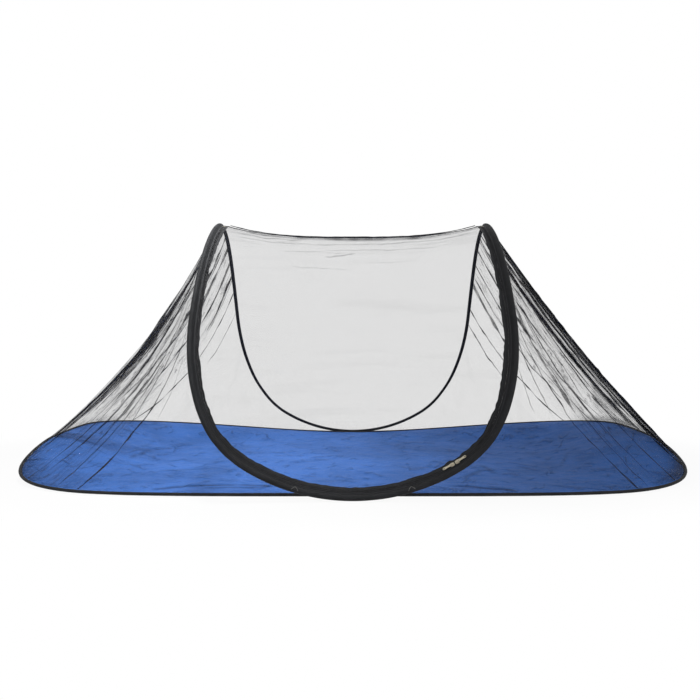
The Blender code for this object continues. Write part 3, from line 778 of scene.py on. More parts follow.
@effect("Height", "Tint", Along=0.0006, Across=0.0006)
def woven_threads(given):
    """Plain weave seen close: the relief of warp over weft, and a thread to thread tint."""
    parts = parts_of(given["Place"])
    x = parts["X"] / given["Along"]
    y = parts["Y"] / given["Across"]
    over = (x * pi).maths("SINE") * (y * pi).maths("SINE")
    inputs = {"X": x.maths("FLOOR"), "Y": y.maths("FLOOR") * 0.02}
    cells = add_node(x.tree, "ShaderNodeCombineXYZ", inputs)[0]
    tint = add_node(x.tree, "ShaderNodeTexWhiteNoise", {"Vector": cells}, noise_dimensions="3D")
    return over * 0.5 + 0.5, tint["Value"]


@effect("Mask", "Dent", Line=0.0, Stitch=0.003, Width=0.0007)
def stitch_line(given):
    """Row of stitches along a tape: where the thread shows, and its relief."""
    parts = parts_of(given["Place"])
    aside = (parts["Y"] - given["Line"]).maths("ABSOLUTE") / given["Width"]
    beat = ((parts["X"] / given["Stitch"]).maths("FRACT") - 0.5).maths("ABSOLUTE")
    return ramp(aside, 1.0, 0.4) * ramp(beat, 0.40, 0.30), ramp(aside, 3.0, 0.0)


@effect("Patch", "Speck", Size=0.2, Speck=0.004)
def faded_patches(given):
    """Broad soft patches and fine specks that vary a colour the way handled cloth does."""
    broad = noise_field(in_units(given["Place"], given["Size"]), 4.0, 0.55, 0.4)
    fine = noise_field(in_units(given["Place"], given["Speck"]), 2.0)
    return ramp(broad, 0.3, 0.7), ramp(fine, 0.35, 0.65)


@effect("Height", "Line", Size=0.06)
def crease_relief(given):
    """Long soft creases and small crumples left in thin cloth that was folded away."""
    place = given["Place"]
    fields = []
    for turn, stretch in ((0.55, 0.25), (-1.05, 0.30)):
        inputs = {"Vector": place, "Angle": turn}
        turned = add_node(place.tree, "ShaderNodeVectorRotate", inputs, rotation_type="Z_AXIS")[0]
        drawn = vector_maths(turned, "MULTIPLY", {1: (stretch, 1.0, 1.0)})
        field = noise_field(in_units(drawn, given["Size"]), 3.0, distortion=0.6)
        fields.append(ramp((field - 0.5).maths("ABSOLUTE"), 0.028, 0.0))
    soft = noise_field(in_units(place, given["Size"], 2.0), 3.0)
    line = fields[0].maths("MAXIMUM", fields[1]) * ramp(soft, 0.48, 0.62)
    return line * 0.5 + soft, line


# Finishes
def finisher(build):
    """Turns a function that wires a shader into one that gives the material of a name."""

    def get_material(name, *values):
        made = bpy.data.materials.get(name)
        if made is None:
            made = bpy.data.materials.new(name)
            made.use_nodes = True
            build(made.node_tree, made.node_tree.nodes["Principled BSDF"], *values)
        return made

    return get_material


def mapped_place(tree, name=CLOTH_MAP):
    return add_node(tree, "ShaderNodeUVMap", uv_map=name)["UV"]


def object_place(tree):
    return add_node(tree, "ShaderNodeTexCoord")["Object"]


def mark_value(tree, name):
    return add_node(tree, "ShaderNodeAttribute", attribute_name=name)["Fac"]


def shade(colour, factor):
    return (*(channel * factor for channel in colour), 1.0)


def two_tone(share, colour, low, high):
    """A colour between two shades of it."""
    return mix_colours(share, shade(colour, low), shade(colour, high))


def dress(shader, colour, rough, relief, specular=0.5):
    """Give a shader its colour, roughness and relief: fields with a depth and a strength."""
    plug(shader.inputs["Base Color"], colour)
    plug(shader.inputs["Roughness"], rough)
    shader.inputs["Specular IOR Level"].default_value = specular
    inputs = {}
    for height, depth, strength in relief:
        inputs.update({"Height": height, "Distance": depth, "Strength": strength})
        inputs["Normal"] = add_node(colour.tree, "ShaderNodeBump", inputs)["Normal"]
    plug(shader.inputs["Normal"], inputs["Normal"])


@finisher
def floor_finish(tree, shader):
    """Thin blue woven polyester with a faint shine and small creases, its creases darkened with painted
    shade.
    """
    place = mapped_place(tree)
    patches = faded_patches(place, Size=0.16, Speck=0.006)
    threads = woven_threads(place, Along=0.0007, Across=0.0007)
    creases = crease_relief(place, Size=0.10)
    blue = colours().floor
    colour = two_tone(patches["Patch"], blue, 0.88, 1.12)
    colour = mix_colours(threads["Tint"] * 0.10, colour, shade(blue, 1.35))
    # painted shade: the blue turns darker along the marked creases and along the fold lines of the
    # relief
    marked_painted_shade = mark_value(tree, CREASE_PAINTED_SHADE) * 0.85
    painted_shade = creases["Line"].maths("MULTIPLY_ADD", 0.30, marked_painted_shade, clamp=True)
    colour = mix_colours(painted_shade, colour, shade(blue, 0.30))
    rough = ramp(patches["Speck"], 0.0, 1.0, 0.50, 0.62)
    relief = [(creases["Height"], 0.016, 0.7), (threads["Height"], 0.00012, 0.5)]
    dress(shader, colour, rough, relief, specular=0.06)


@finisher
def net_finish(tree, shader, lean_cover):
    """Black knitted net, seen through; denser where it is gathered."""
    place = mapped_place(tree)
    lines = mapped_place(tree, LINE_MAP)
    gather = mark_value(tree, GATHER)
    bunch = mark_value(tree, BUNCH)
    fine = fold_streaks(lines, Spacing=0.009, Length=0.16, Amount=gather)["Mask"]
    broad = fold_streaks(lines, Spacing=0.030, Length=0.30, Amount=gather)["Mask"]
    faint = fold_streaks(lines, Spacing=0.060, Length=0.60, Amount=0.12)["Mask"]
    short = fold_streaks(lines, Spacing=0.013, Length=0.055, Amount=gather)["Mask"]
    streaks = fine * 0.24 + broad * 0.12 + ramp(short, 0.45, 0.95) * 0.42
    cover = bunch * 0.80 + faint * 0.20 + gather * 0.06 + streaks + lean_cover
    contrast = bunch * -0.45 + 0.55
    threads = net_threads(place, Pitch=sizes().net_pitch, Cover=cover, Contrast=contrast)
    plug(shader.inputs["Alpha"], threads["Cover"])
    patches = faded_patches(place, Size=0.1, Speck=0.003)
    colour = two_tone(patches["Patch"], colours().net, 0.7, 1.5)
    dress(shader, colour, 0.7, [(threads["Height"], 0.0003, 0.6)], specular=0.10)


@finisher
def tape_finish(tree, shader, along, across, lines, lift=1.0):
    """Black woven tape with its weave, stitch rows and rubbed high places."""
    place = mapped_place(tree)
    threads = woven_threads(place, Along=along, Across=across)
    patches = faded_patches(place, Size=0.05, Speck=0.0025)
    black = [channel * lift for channel in colours().tape]
    colour = two_tone(patches["Patch"], black, 0.8, 1.35)
    colour = mix_colours(threads["Tint"] * 0.30, colour, shade(black, 2.2))
    relief = [(threads["Height"], 0.00025, 0.6)]
    for line in lines:
        stitches = stitch_line(place, Line=line, Stitch=sizes().stitch_length, Width=0.0006)
        colour = mix_colours(stitches["Mask"] * 0.8, colour, shade(black, 5.0))
        relief.append((stitches["Dent"], -0.0005, 0.6))
    rough = ramp(patches["Speck"], 0.0, 1.0, 0.58, 0.76)
    dress(shader, colour, rough, relief, specular=0.15)


@finisher
def coil_finish(tree, shader):
    """Black nylon teeth with a dull plastic shine."""
    patches = faded_patches(object_place(tree), Size=0.03, Speck=0.002)
    colour = two_tone(patches["Patch"], colours().coil, 0.7, 1.6)
    rough = ramp(patches["Speck"], 0.0, 1.0, 0.50, 0.68)
    dress(shader, colour, rough, [(patches["Speck"], 0.0001, 0.4)], specular=0.2)


@finisher
def metal_finish(tree, shader, colour, rough, metallic):
    """Plated or bare metal with fine scratches and dull spots."""
    patches = faded_patches(object_place(tree), Size=0.004, Speck=0.0006)
    worn = two_tone(patches["Patch"], colour, 0.72, 1.12)
    dull = ramp(patches["Speck"], 0.0, 1.0, rough * 0.8, rough * 1.5)
    shader.inputs["Metallic"].default_value = metallic
    dress(shader, worn, dull, [(patches["Speck"], 0.00004, 0.5)])


@finisher
def thread_finish(tree, shader):
    """Pale twisted sewing thread."""
    threads = woven_threads(mapped_place(tree), Along=0.0005, Across=0.0008)
    colour = two_tone(threads["Tint"], colours().stitch, 0.7, 1.2)
    dress(shader, colour, 0.6, [(threads["Height"], 0.0002, 0.6)])


# Floor: its creases, each drawn as painted shade along it and as a lift of the cloth beside it, with
# both ends in metres, half width and strength
FLOOR_CREASES = (
    (-0.535, -0.444, -0.460, -0.398, 0.016, 0.9),
    (-0.470, -0.400, -0.310, -0.384, 0.014, 1.0),
    (-0.320, -0.384, -0.215, -0.404, 0.013, 1.0),
    (-0.420, -0.418, -0.240, -0.414, 0.010, 0.7),
    (-0.712, -0.070, -0.690, 0.110, 0.010, 0.9),
    (-0.690, 0.100, -0.640, 0.160, 0.010, 0.7),
    (-0.740, 0.040, -0.700, 0.230, 0.006, 0.4),
    (-0.600, -0.200, -0.420, -0.160, 0.016, 0.4),
    (0.266, -0.392, 0.440, -0.455, 0.014, 1.0),
    (0.280, -0.420, 0.420, -0.425, 0.016, 0.4),
    (0.319, -0.286, 0.403, -0.181, 0.009, 0.9),
    (0.400, -0.110, 0.429, -0.240, 0.008, 0.8),
    (0.515, -0.135, 0.560, -0.198, 0.009, 0.7),
    (0.180, -0.160, 0.330, -0.120, 0.014, 0.4),
    (-0.120, -0.330, 0.060, -0.300, 0.014, 0.3),
    (-0.200, -0.080, -0.060, -0.020, 0.014, 0.3),
    (0.640, -0.150, 0.720, 0.020, 0.008, 0.4),
)


def floor_crease(x, y):
    """How much painted shade darkens the floor's colour along its creases at a place, and the cloth's
    lift beside them.
    """
    painted_shade = 0.0
    lift = 0.0
    for ax, ay, bx, by, half, strength in FLOOR_CREASES:
        dx, dy = bx - ax, by - ay
        run = sqrt(dx * dx + dy * dy)
        along = ((x - ax) * dx + (y - ay) * dy) / (run * run)
        if not -0.1 < along < 1.1:
            continue
        bend = 0.5 * half * noise.noise(Vector((x * 22, y * 22, ax * 50)))
        aside = ((x - ax) * -dy + (y - ay) * dx) / run + bend
        if abs(aside) > 4.0 * half:
            continue
        fade = smooth_step((along + 0.1) / 0.3) * smooth_step((1.1 - along) / 0.3) * strength
        painted_shade = max(painted_shade, fade * (1.0 - smooth_step(abs(aside) / half)))
        lift = max(lift, fade * (1.0 - smooth_step(abs(aside - 1.5 * half) / (2.5 * half))))
    return painted_shade, lift


def build_floor():
    """Floor cloth as rings of points from the middle out to the tape."""
    turns = ring_turns(FLOOR_TURNS)[:-1]
    height = sizes().floor_wrinkle
    points, across, along, creases = [], [], [], []
    for share in [FLOOR_CENTRE_SHARE] + [index / FLOOR_RINGS for index in range(1, FLOOR_RINGS + 1)]:
        rise = smooth_step((share - FLOOR_RISE_START) / (1.0 - FLOOR_RISE_START))
        calm = smooth_step((1.0 - share) / FLOOR_CALM_SHARE)
        half_length = (RING_HALF_LENGTH - FLOOR_INSET) * share
        half_width = (RING_HALF_WIDTH - FLOOR_INSET) * share
        row, marks = [], []
        for turn in turns:
            x, y = ring_plan(turn, half_length, half_width)
            edge = RING_HEIGHT + ring_lift(turn) - FLOOR_CLEARANCE
            ripple = noise.noise(Vector((x * 7, y * 7, 3.1)))
            ripple += 0.5 * noise.noise(Vector((x * 17, y * 17, 8.2)))
            # strength of the painted shade along the creases here, and the cloth's lift beside them
            painted_shade, beside = floor_crease(x, y)
            lift = height * (0.30 * (ripple + 1.0) + beside) * calm
            row.append(Vector((x, y, FLOOR_CLEARANCE + edge * rise + lift)))
            marks.append(painted_shade)
        points.append(row)
        creases.append(marks)
        across.append([point.x for point in row + row[:1]])
        along.append([point.y for point in row + row[:1]])
    bm = grid_mesh(points, across, along, {CREASE_PAINTED_SHADE: creases}, wrap=True)
    bm.verts.ensure_lookup_table()
    centre = bm.faces.new(list(reversed(bm.verts[: len(turns)])))
    layer = bm.loops.layers.uv[CLOTH_MAP]
    for loop in centre.loops:
        loop[layer].uv = loop.vert.co.xy
    bmesh.ops.recalc_face_normals(bm, faces=bm.faces)
    material = floor_finish("floor_cloth_blue")
    made = finish_mesh("floor_cloth", bm, material, "tent", ["floor_sheet"])
    solid = made.modifiers.new("thickness", "SOLIDIFY")
    solid.thickness = FLOOR_THICKNESS
    solid.offset = 0.0


# Tapes and sleeves
def binding_outline(radius, phase):
    """Tape folded round a wire, its two lips closing on the cloth inside."""
    outline = []
    for step in range(14):
        angle = 2 * pi * step / 14
        u = radius * cos(angle)
        v = radius * sin(angle)
        if u > 0.0:
            v *= 1.0 - 0.42 * (u / radius) ** 2
            u *= 1.18
        outline.append((u, v * (1.0 + 0.05 * phase)))
    return outline


def build_floor_tape():
    """Tape folded round the floor ring."""
    turns = ring_turns(BINDING_STEPS)[:-1]
    outlines = []
    for index in range(len(turns)):
        angle = 2 * pi * index / len(turns)
        phase = noise.noise(Vector((cos(angle) * 40, sin(angle) * 40, 1.0)))
        outlines.append(binding_outline(BINDING_RADIUS * BINDING_TUCK, phase))
    bm = tube_mesh([ring_frame(turn) for turn in turns], outlines, closed=True)
    material = tape_finish("edge_tape_black", 0.0012, 0.0008, (0.0035, 0.0305))
    finish_mesh("floor_edge_tape", bm, material, "tent", ["floor_edge_binding"])


def sleeve_outline(radius, flange, puff, puff_side):
    """Round channel that narrows to a flat sewn flange."""
    outline = []
    neck = 0.62
    for step in range(15):
        angle = neck + (2 * pi - 2 * neck) * step / 14
        swell = 1.0 + 0.05 * puff * sin(angle * 2 + puff_side)
        outline.append((radius * cos(angle) * swell, radius * sin(angle) * swell))
    half = 0.0014
    tail = [(radius * 0.98, -half * 1.5), (flange - half, -half), (flange, 0.0), (flange - half, half)]
    return outline + tail + [(radius * 0.98, half * 1.5)]


def build_sleeves():
    """Front and rear sleeves of the hoop's wire, each with its row of stitches."""
    for name, node, end, radius, flange, line in (
        ("hoop_sleeve_front", "front_hoop_sleeve", -1, FRONT_SLEEVE_RADIUS, FRONT_FLANGE, 0.0375),
        ("hoop_sleeve_rear", "rear_hoop_sleeve", 1, REAR_SLEEVE_RADIUS, REAR_FLANGE, 0.0285),
    ):
        path = half_hoop(end, share_at_depth(SLEEVE_END_DEPTH, end), SLEEVE_STEPS)
        outlines = []
        for share, _ in path:
            puff = wobble(share, 0.035, 2 + end)
            puff_side = 3 * wobble(share, 0.08, 6)
            outlines.append(sleeve_outline(radius * SLEEVE_TUCK, flange, puff, puff_side))
        bm = tube_mesh([placed for _, placed in path], outlines)
        material = tape_finish(name + "_cloth", 0.0009, 0.0009, (line,))
        finish_mesh(name, bm, material, "tent", [node])


def build_end_seam(label, side, material):
    """Tape down the middle of one end, swaying and turning a little."""
    start, finish, down, normal = seam_line(side)
    across = Vector((0.0, 1.0, 0.0))
    outline = rounded_strip(-SEAM_WIDTH / 2, SEAM_WIDTH / 2, SEAM_THICKNESS)
    frames = []
    for step in range(SEAM_STEPS + 1):
        along = step / SEAM_STEPS
        sway = 0.0016 * wobble(along, 0.07, 4 + side)
        turn = 0.55 + 0.45 * wobble(along, 0.09, 9 + side)
        lean = across * cos(turn) + normal * sin(turn)
        point = start.lerp(finish, along) + seam_pull(side, along) + across * sway
        frames.append((point, down, lean, down.cross(lean).normalized()))
    bm = tube_mesh(frames, [outline] * len(frames))
    finish_mesh(label + "_seam_tape", bm, material, "tent", [label + "_end_seam_tape"])


def build_ridge_strip(name, node, depth, width, clear, body, roll, material):
    """Tape or hem that sags between the two peaks, thicker where it has rolled up."""
    half_length = PEAK_ACROSS - clear - GAP
    height = hoop_place(share_at_depth(abs(depth), -1), 1, -1).z
    frames, outlines = [], []
    for step in range(RIDGE_STEPS + 1):
        along = 2.0 * step / RIDGE_STEPS - 1.0
        rise = 0.0006 * wobble(along, 0.09, 3) - RIDGE_SAG * ridge_drop(along)
        turn = 0.25 * wobble(along, 0.06, 5)
        point = Vector((half_length * along, depth, height + rise))
        lean = Vector((0.0, cos(turn), sin(turn)))
        frames.append((point, None, lean, Vector((0.0, -sin(turn), cos(turn)))))
        rolled = smooth_step((along + 0.62) / 0.30) * smooth_step((0.72 - along) / 0.25)
        thick = SEAM_THICKNESS + roll * rolled * (1.0 + 0.6 * wobble(along, 0.05, 31))
        outlines.append(rounded_strip(-width / 2, width / 2, thick))
    finish_mesh(name, tube_mesh(frames, outlines), material, body, [node])


def build_seams():
    """Tapes on the two end seams, the ridge tape and the door's hem."""
    material = tape_finish("seam_tape_black", 0.0009, 0.0007, (0.0025, 0.0090, 0.0155, 0.0220))
    build_end_seam("left", -1, material)
    build_end_seam("right", 1, material)
    for name, node, *values in (
        ("ridge_tape", "ridge_seam_tape", 0.0, RIDGE_WIDTH, FRONT_FLANGE, "tent", RIDGE_ROLL),
        ("door_hem", "door_top_hem", -HEM_DEPTH, HEM_WIDTH, DOOR_TAPE[1], "door", 0.0),
    ):
        build_ridge_strip(name, node, *values, material)


# Nets
def end_net_lines(side, end):
    """Tops, feet and outward directions of lines across one half of an end net."""
    radius = FRONT_SLEEVE_RADIUS if end < 0 else REAR_SLEEVE_RADIUS
    split = FRONT_SPLIT if end < 0 else REAR_SPLIT
    seam = SEAM_WIDTH / 2 + GAP
    first_share = share_at_across(split / 2)
    last_share = share_at_depth(seam, end)
    first_turn = pi / 2 - asin(split / 2 / RING_HALF_LENGTH)
    last_turn = atan(seam / RING_HALF_WIDTH)
    tops, feet, outs = [], [], []
    for index in range(NET_LINES + 1):
        along = index / NET_LINES
        share = first_share + (last_share - first_share) * along
        corner = CORNER_GATHER_SHARE * (along**CORNER_GATHER_POWER - along)
        turn = end * (first_turn + (last_turn - first_turn) * (along + corner))
        point, tangent, _, _ = hoop_frame(share, side, end)
        base, ring_tangent, _, _ = ring_frame(turn)
        base.x *= side
        ring_tangent.x *= side
        down = base - point
        from_hoop = (down - tangent * down.dot(tangent)).normalized()
        from_ring = (-down + ring_tangent * down.dot(ring_tangent)).normalized()
        out = down.cross(tangent).normalized()
        if out.x * side + out.z < 0.0:
            out.negate()
        tops.append(point + from_hoop * (radius + GAP))
        feet.append(base + from_ring * (BINDING_RADIUS + GAP))
        outs.append(out)
    return np.array(tops), np.array(feet), np.array(outs)


# A folded strip in half widths: places of its points while open, and their places and heights
# when it is shut; and which points are bunched
FOLD_OPEN = (-1.2, -0.9, -0.5, -0.15, 0.15, 0.5, 0.9, 1.2)
FOLD_SHUT = (
    (-1.2, 0.0),
    (0.9, 0.3),
    (1.1, 0.7),
    (0.9, 1.1),
    (-0.9, 1.4),
    (-1.1, 1.8),
    (-0.9, 2.2),
    (1.2, 0.4),
)
FOLD_BUNCH = (0.0, 1.0, 1.0, 1.0, 1.0, 1.0, 1.0, 0.0)
FOLD_REACH = 1.2
FOLD_APART = 1.4

# Folds seen in each half net: share at the hoop, share at the ring, where it starts and ends
# on its way down, half width in metres, how far it closes, how tightly its cloth is bunched
NET_FOLDS = {
    "left_front": (
        (0.500, 0.530, -0.20, 0.50, 0.0008, 0.7, 0.30),
        (0.545, 0.565, -0.30, 1.40, 0.0026, 1.0, 0.95),
        (0.600, 0.585, 0.05, 0.60, 0.0018, 0.9, 0.70),
        (0.655, 0.610, 0.10, 0.66, 0.0040, 0.9, 0.95),
        (0.700, 0.670, 0.35, 1.40, 0.0020, 0.9, 0.70),
        (0.750, 0.740, -0.05, 0.60, 0.0048, 1.0, 0.95),
        (0.820, 0.810, 0.35, 1.40, 0.0024, 1.0, 0.85),
        (0.860, 0.900, 0.50, 1.40, 0.0022, 1.0, 0.80),
        (0.900, 0.995, 0.05, 1.40, 0.0060, 1.0, 1.00),
    ),
    "right_front": (
        (0.450, 0.490, -0.20, 0.35, 0.0012, 0.9, 0.60),
        (0.500, 0.540, -0.10, 0.45, 0.0026, 1.0, 0.85),
        (0.540, 0.585, -0.30, 1.40, 0.0022, 1.0, 0.95),
        (0.585, 0.600, 0.00, 0.55, 0.0080, 1.0, 0.50),
        (0.640, 0.640, -0.10, 0.66, 0.0032, 1.0, 0.95),
        (0.700, 0.690, 0.40, 1.40, 0.0022, 1.0, 0.80),
        (0.730, 0.720, -0.10, 0.60, 0.0032, 1.0, 0.95),
        (0.800, 0.780, -0.10, 1.40, 0.0028, 1.0, 0.95),
        (0.860, 0.850, -0.10, 0.75, 0.0028, 1.0, 0.90),
        (0.912, 0.912, -0.30, 1.40, 0.0026, 1.0, 0.90),
        (0.932, 0.932, -0.30, 1.40, 0.0030, 1.0, 0.90),
        (0.978, 0.978, -0.30, 1.40, 0.0018, 1.0, 0.50),
    ),
    "left_rear": (
        (0.540, 0.610, -0.10, 0.40, 0.0014, 0.9, 0.60),
        (0.610, 0.640, -0.30, 1.40, 0.0030, 1.0, 0.85),
        (0.670, 0.660, -0.20, 0.28, 0.0075, 0.8, 1.00),
        (0.730, 0.720, -0.20, 0.36, 0.0120, 0.8, 1.00),
        (0.800, 0.780, -0.20, 0.32, 0.0150, 0.8, 1.00),
        (0.870, 0.850, -0.20, 0.42, 0.0110, 0.8, 1.00),
        (0.930, 0.920, -0.20, 0.45, 0.0080, 0.8, 1.00),
        (0.975, 0.980, 0.45, 1.40, 0.0060, 0.9, 1.00),
    ),
    "right_rear": (
        (0.500, 0.570, -0.20, 0.50, 0.0020, 1.0, 0.85),
        (0.550, 0.610, -0.30, 1.40, 0.0026, 1.0, 0.90),
        (0.640, 0.630, -0.20, 0.45, 0.0110, 0.8, 0.90),
        (0.720, 0.700, -0.20, 0.40, 0.0045, 0.9, 0.90),
        (0.790, 0.770, -0.20, 0.45, 0.0070, 0.9, 0.95),
        (0.860, 0.840, -0.20, 0.50, 0.0080, 0.9, 0.95),
        (0.955, 0.955, -0.30, 1.40, 0.0050, 1.0, 1.00),
        (0.980, 0.980, -0.30, 1.40, 0.0050, 1.0, 1.00),
    ),
}
# Small folds of each half net: how many, how bunched, how wide; and where they may lie
SMALL_FOLDS = {
    "left_front": (24, 1.0, 1.0),
    "right_front": (15, 0.8, 1.0),
    "left_rear": (8, 0.9, 2.0),
    "right_rear": (8, 0.8, 2.0),
}
SMALL_FOLD_START = 0.585
SMALL_FOLD_END = 0.985
SMALL_FOLD_GAP = 0.004


def fold_strength(down, start, finish):
    """How far a fold is closed at a place down its length."""
    return smooth_step((down - start) / 0.10 + 0.5) * smooth_step((finish - down) / 0.14 + 0.5)


def end_net_folds(label):
    """The folds seen in one half net, and the small ones between them and the seam."""
    folds = list(NET_FOLDS[label])
    count, strength, widening = SMALL_FOLDS[label]
    rng = np.random.default_rng(sum(map(ord, label)))
    room = SMALL_FOLD_END - SMALL_FOLD_START
    for index in range(count):
        place = SMALL_FOLD_START + room * (index + rng.uniform(0.1, 0.9)) / count
        if min(abs(place - fold[0]) - fold[4] for fold in folds) < SMALL_FOLD_GAP:
            continue
        first = rng.uniform(-0.2, 0.5)
        run = rng.uniform(0.2, 0.8)
        half = rng.uniform(0.0007, 0.0020) * widening
        lean = rng.uniform(-0.02, 0.02)
        cover = strength * rng.uniform(0.25, 0.85)
        folds.append((place, place + lean, first, first + run, half, 1.0, cover))
    return sorted(folds)


def foot_share(down):
    """How far the right net has opened out towards its foot, from 0 to 1."""
    return smooth_step((down - PLEAT_FOOT_START) / PLEAT_FOOT_RUN)


def pleat_start(side, down):
    """Share across the half net where the fine pleats beside the seam begin."""
    return 0.955 if side < 0 else 0.903 - 0.143 * foot_share(down)


def seam_pleat(place, down, side, end):
    """Height of the fine pleats that gather an end net beside its seam."""
    start = pleat_start(side, down)
    if place < start:
        return 0.0
    finish = 1.0 if side < 0 else 0.958 + 0.042 * foot_share(down)
    size = smooth_step((place - start) / 0.02) * smooth_step((finish - place) / 0.012)
    size *= sin(pi * down) ** 0.35 if 0.0 < down < 1.0 else 0.0
    size *= 0.8 + 0.5 * wobble(place, 0.02, 17) + 0.3 * wobble(down, 0.10, 18)
    turn = place / PLEAT_PITCH_SHARE + 0.5 * wobble(down, 0.25, 19 + end) + 0.4 * wobble(place, 0.03, 20)
    return PLEAT_DEPTH * size * sin(2 * pi * turn)


def seam_bunch(place, down, side):
    """How tightly an end net is bunched along its seam and into the floor's tape."""
    hem = 0.60 * smooth_step((down - 0.93) / 0.06) * smooth_step((place - 0.62) / 0.12)
    streaky = 0.80 + 0.90 * wobble(place, 0.009, 14) + 0.25 * wobble(down, 0.04, 15)
    if side < 0:
        beside = 0.60 * smooth_step((place - 0.978) / 0.012) * smooth_step((down - 0.25) / 0.15)
        return max(0.45 * hem, beside * streaky)
    beside = 0.16 * smooth_step((place - pleat_start(side, down)) / 0.03)
    beside += 0.34 * smooth_step((place - 0.900) / 0.012) * smooth_step((0.950 - place) / 0.012)
    return min(max(hem, beside * streaky), 1.0)


def net_wave(place, window, side, end):
    """Height of the broad waves of an end net and of the fine ones on them."""
    past = place - FOLD_START_SHARE
    ease = smooth_step(past / FOLD_EASE_SHARE) * smooth_step((1.0 - place) / FOLD_END_SHARE)
    wave = sin(2 * pi * FOLD_COUNT * past / (1.0 - FOLD_START_SHARE))
    fine = 0.30 * wobble(place, 0.010, 5 + end + 2 * side) * ease
    return FOLD_DEPTH * window * (ease * wave + fine)


def net_gather(place, down, side, end):
    """How strongly the fine streaks show at a place of an end net."""
    gathered = smooth_step((place - (0.53 if end < 0 else 0.60)) / 0.10)
    if side > 0:
        return gathered * (1.0 - 0.75 * smooth_step((down - 0.68) / 0.20))
    return gathered * (1.0 - 0.20 * smooth_step((down - 0.45) / 0.4))


def end_net_point(place, down, samples, lines, pull):
    """Point of an end net at a share along the hoop and a share down to the ring, and its outward."""
    top, foot, out = (
        Vector([np.interp(place, samples, line[:, axis]) for axis in range(3)]) for line in lines
    )
    hollow = NET_HOLLOW_SHARE * 16.0 * down * (1.0 - down) * place * (1.0 - place) * (foot - top).length
    drawn = smooth_step((place - PULL_START_SHARE) / PULL_RUN_SHARE)
    return top.lerp(foot, down) - out * hollow + pull * drawn, out


def net_stretches(folds, side):
    """How many steps the cloth before each fold, and after the last, is made of."""
    counts = []
    edge = 0.0
    for place in [fold[0] for fold in folds] + [1.0]:
        plain = min(max(pleat_start(side, 1.0) - edge, 0.0), place - edge)
        pleated = place - edge - plain
        counts.append(max(2, round(plain / PLAIN_STEP_SHARE + pleated / PLEAT_STEP_SHARE)))
        edge = place
    return counts


def folded_row(folds, stretches, down, window, span):
    """Points across an end net at one height: their place, height in a fold and bunching."""
    layer = sizes().tuck_layer
    row = []
    edge = 0.0
    for index, (top, foot, start, finish, width, depth, cover) in enumerate(folds):
        centre = top + (foot - top) * down + 0.008 * wobble(down, 0.19, index + 3) * window
        centre += 0.0035 * wobble(down, 0.05, index + 60) * window * min(width / 0.002, 1.0)
        half = width / span * max(1.0 + 1.3 * wobble(down, 0.07, index + 21), 0.25)
        centre = max(centre, edge + FOLD_APART * half)
        shown = fold_strength(down, start, finish)
        closed = shown * depth
        broken = min(max(0.80 + 0.9 * wobble(down, 0.05, index + 40), 0.15), 1.1)
        tight = shown * cover * broken * (1.0 - 0.45 * smooth_step((width - 0.003) / 0.004))
        run = centre - FOLD_REACH * half - edge
        row += [(edge + run * step / stretches[index], 0.0, 0.0) for step in range(stretches[index])]
        for place, (shut, rise), bunched in zip(FOLD_OPEN, FOLD_SHUT, FOLD_BUNCH):
            across = centre + half * (place + (shut - place) * closed)
            row.append((across, rise * layer * closed, bunched * tight))
        edge = centre + FOLD_REACH * half
    count = stretches[-1]
    return row + [(edge + (1.0 - edge) * step / count, 0.0, 0.0) for step in range(count + 1)]


def build_end_net(label, side, end):
    """Half of an end net, stretched from the hoop to the ring, with folds near its seam."""
    lines = end_net_lines(side, end)
    samples = np.linspace(0.0, 1.0, len(lines[0]))
    folds = end_net_folds(label)
    stretches = net_stretches(folds, side)
    points, gathers, bunches, across, along, line_map = [], [], [], [], [], []
    for index in range(NET_ROWS + 1):
        down = index / NET_ROWS
        height = down * NET_MAP_HEIGHT
        span = (1.0 - down) * NET_TOP_SPAN + down * NET_FOOT_SPAN
        window = sin(pi * down) ** 0.7 if 0 < index < NET_ROWS else 0.0
        pull = seam_pull(side, down)
        row = folded_row(folds, stretches, down, window, span)
        flats = np.maximum.accumulate([place for place, _, _ in row])
        line, gather, bunch = [], [], []
        for place, fold_height, bunched in row:
            place = min(max(place, 0.0), 1.0)
            point, out = end_net_point(place, down, samples, lines, pull)
            lift = net_wave(place, window, side, end) + fold_height * window
            line.append(point + out * (lift + seam_pleat(place, down, side, end)))
            gather.append(net_gather(place, down, side, end))
            bunch.append(max(bunched, seam_bunch(place, down, side)))
        points.append(line)
        gathers.append(gather)
        bunches.append(bunch)
        across.append([flat * span for flat in flats])
        along.append([height] * len(line))
        line_map.append([(flat * NET_MAP_WIDTH, height) for flat in flats])
    marks = {GATHER: gathers, BUNCH: bunches}
    bm = grid_mesh(points, across, along, marks, line_map, flip=side * end > 0)
    material = net_finish("net_black_ends", sizes().net_cover)
    node = label.replace("_", "_end_net_")
    made = finish_mesh(node + "_net", bm, material, "tent", [node])


# Wrinkles under the ridge: places at their ends along it, heights there, half height, how bunched
RIDGE_WRINKLES = (
    (-1.00, 0.9985, -0.30, 0.997, 0.0030, 0.80),
    (-0.50, 0.9960, 0.65, 0.9960, 0.0090, 1.00),
    (0.30, 0.997, 1.00, 0.9985, 0.0030, 0.80),
    (-0.90, 0.990, -0.40, 0.985, 0.0024, 0.60),
    (-0.93, 0.978, -0.10, 0.970, 0.0022, 0.45),
    (-0.30, 0.972, 0.92, 0.986, 0.0024, 0.50),
    (-0.22, 0.944, 0.68, 0.950, 0.0022, 0.50),
    (-0.22, 0.910, 0.02, 0.930, 0.0028, 0.85),
    (-0.60, 0.938, -0.05, 0.930, 0.0016, 0.35),
    (-0.50, 0.860, -0.05, 0.850, 0.0030, 0.30),
    (0.10, 0.880, 0.55, 0.890, 0.0020, 0.20),
)


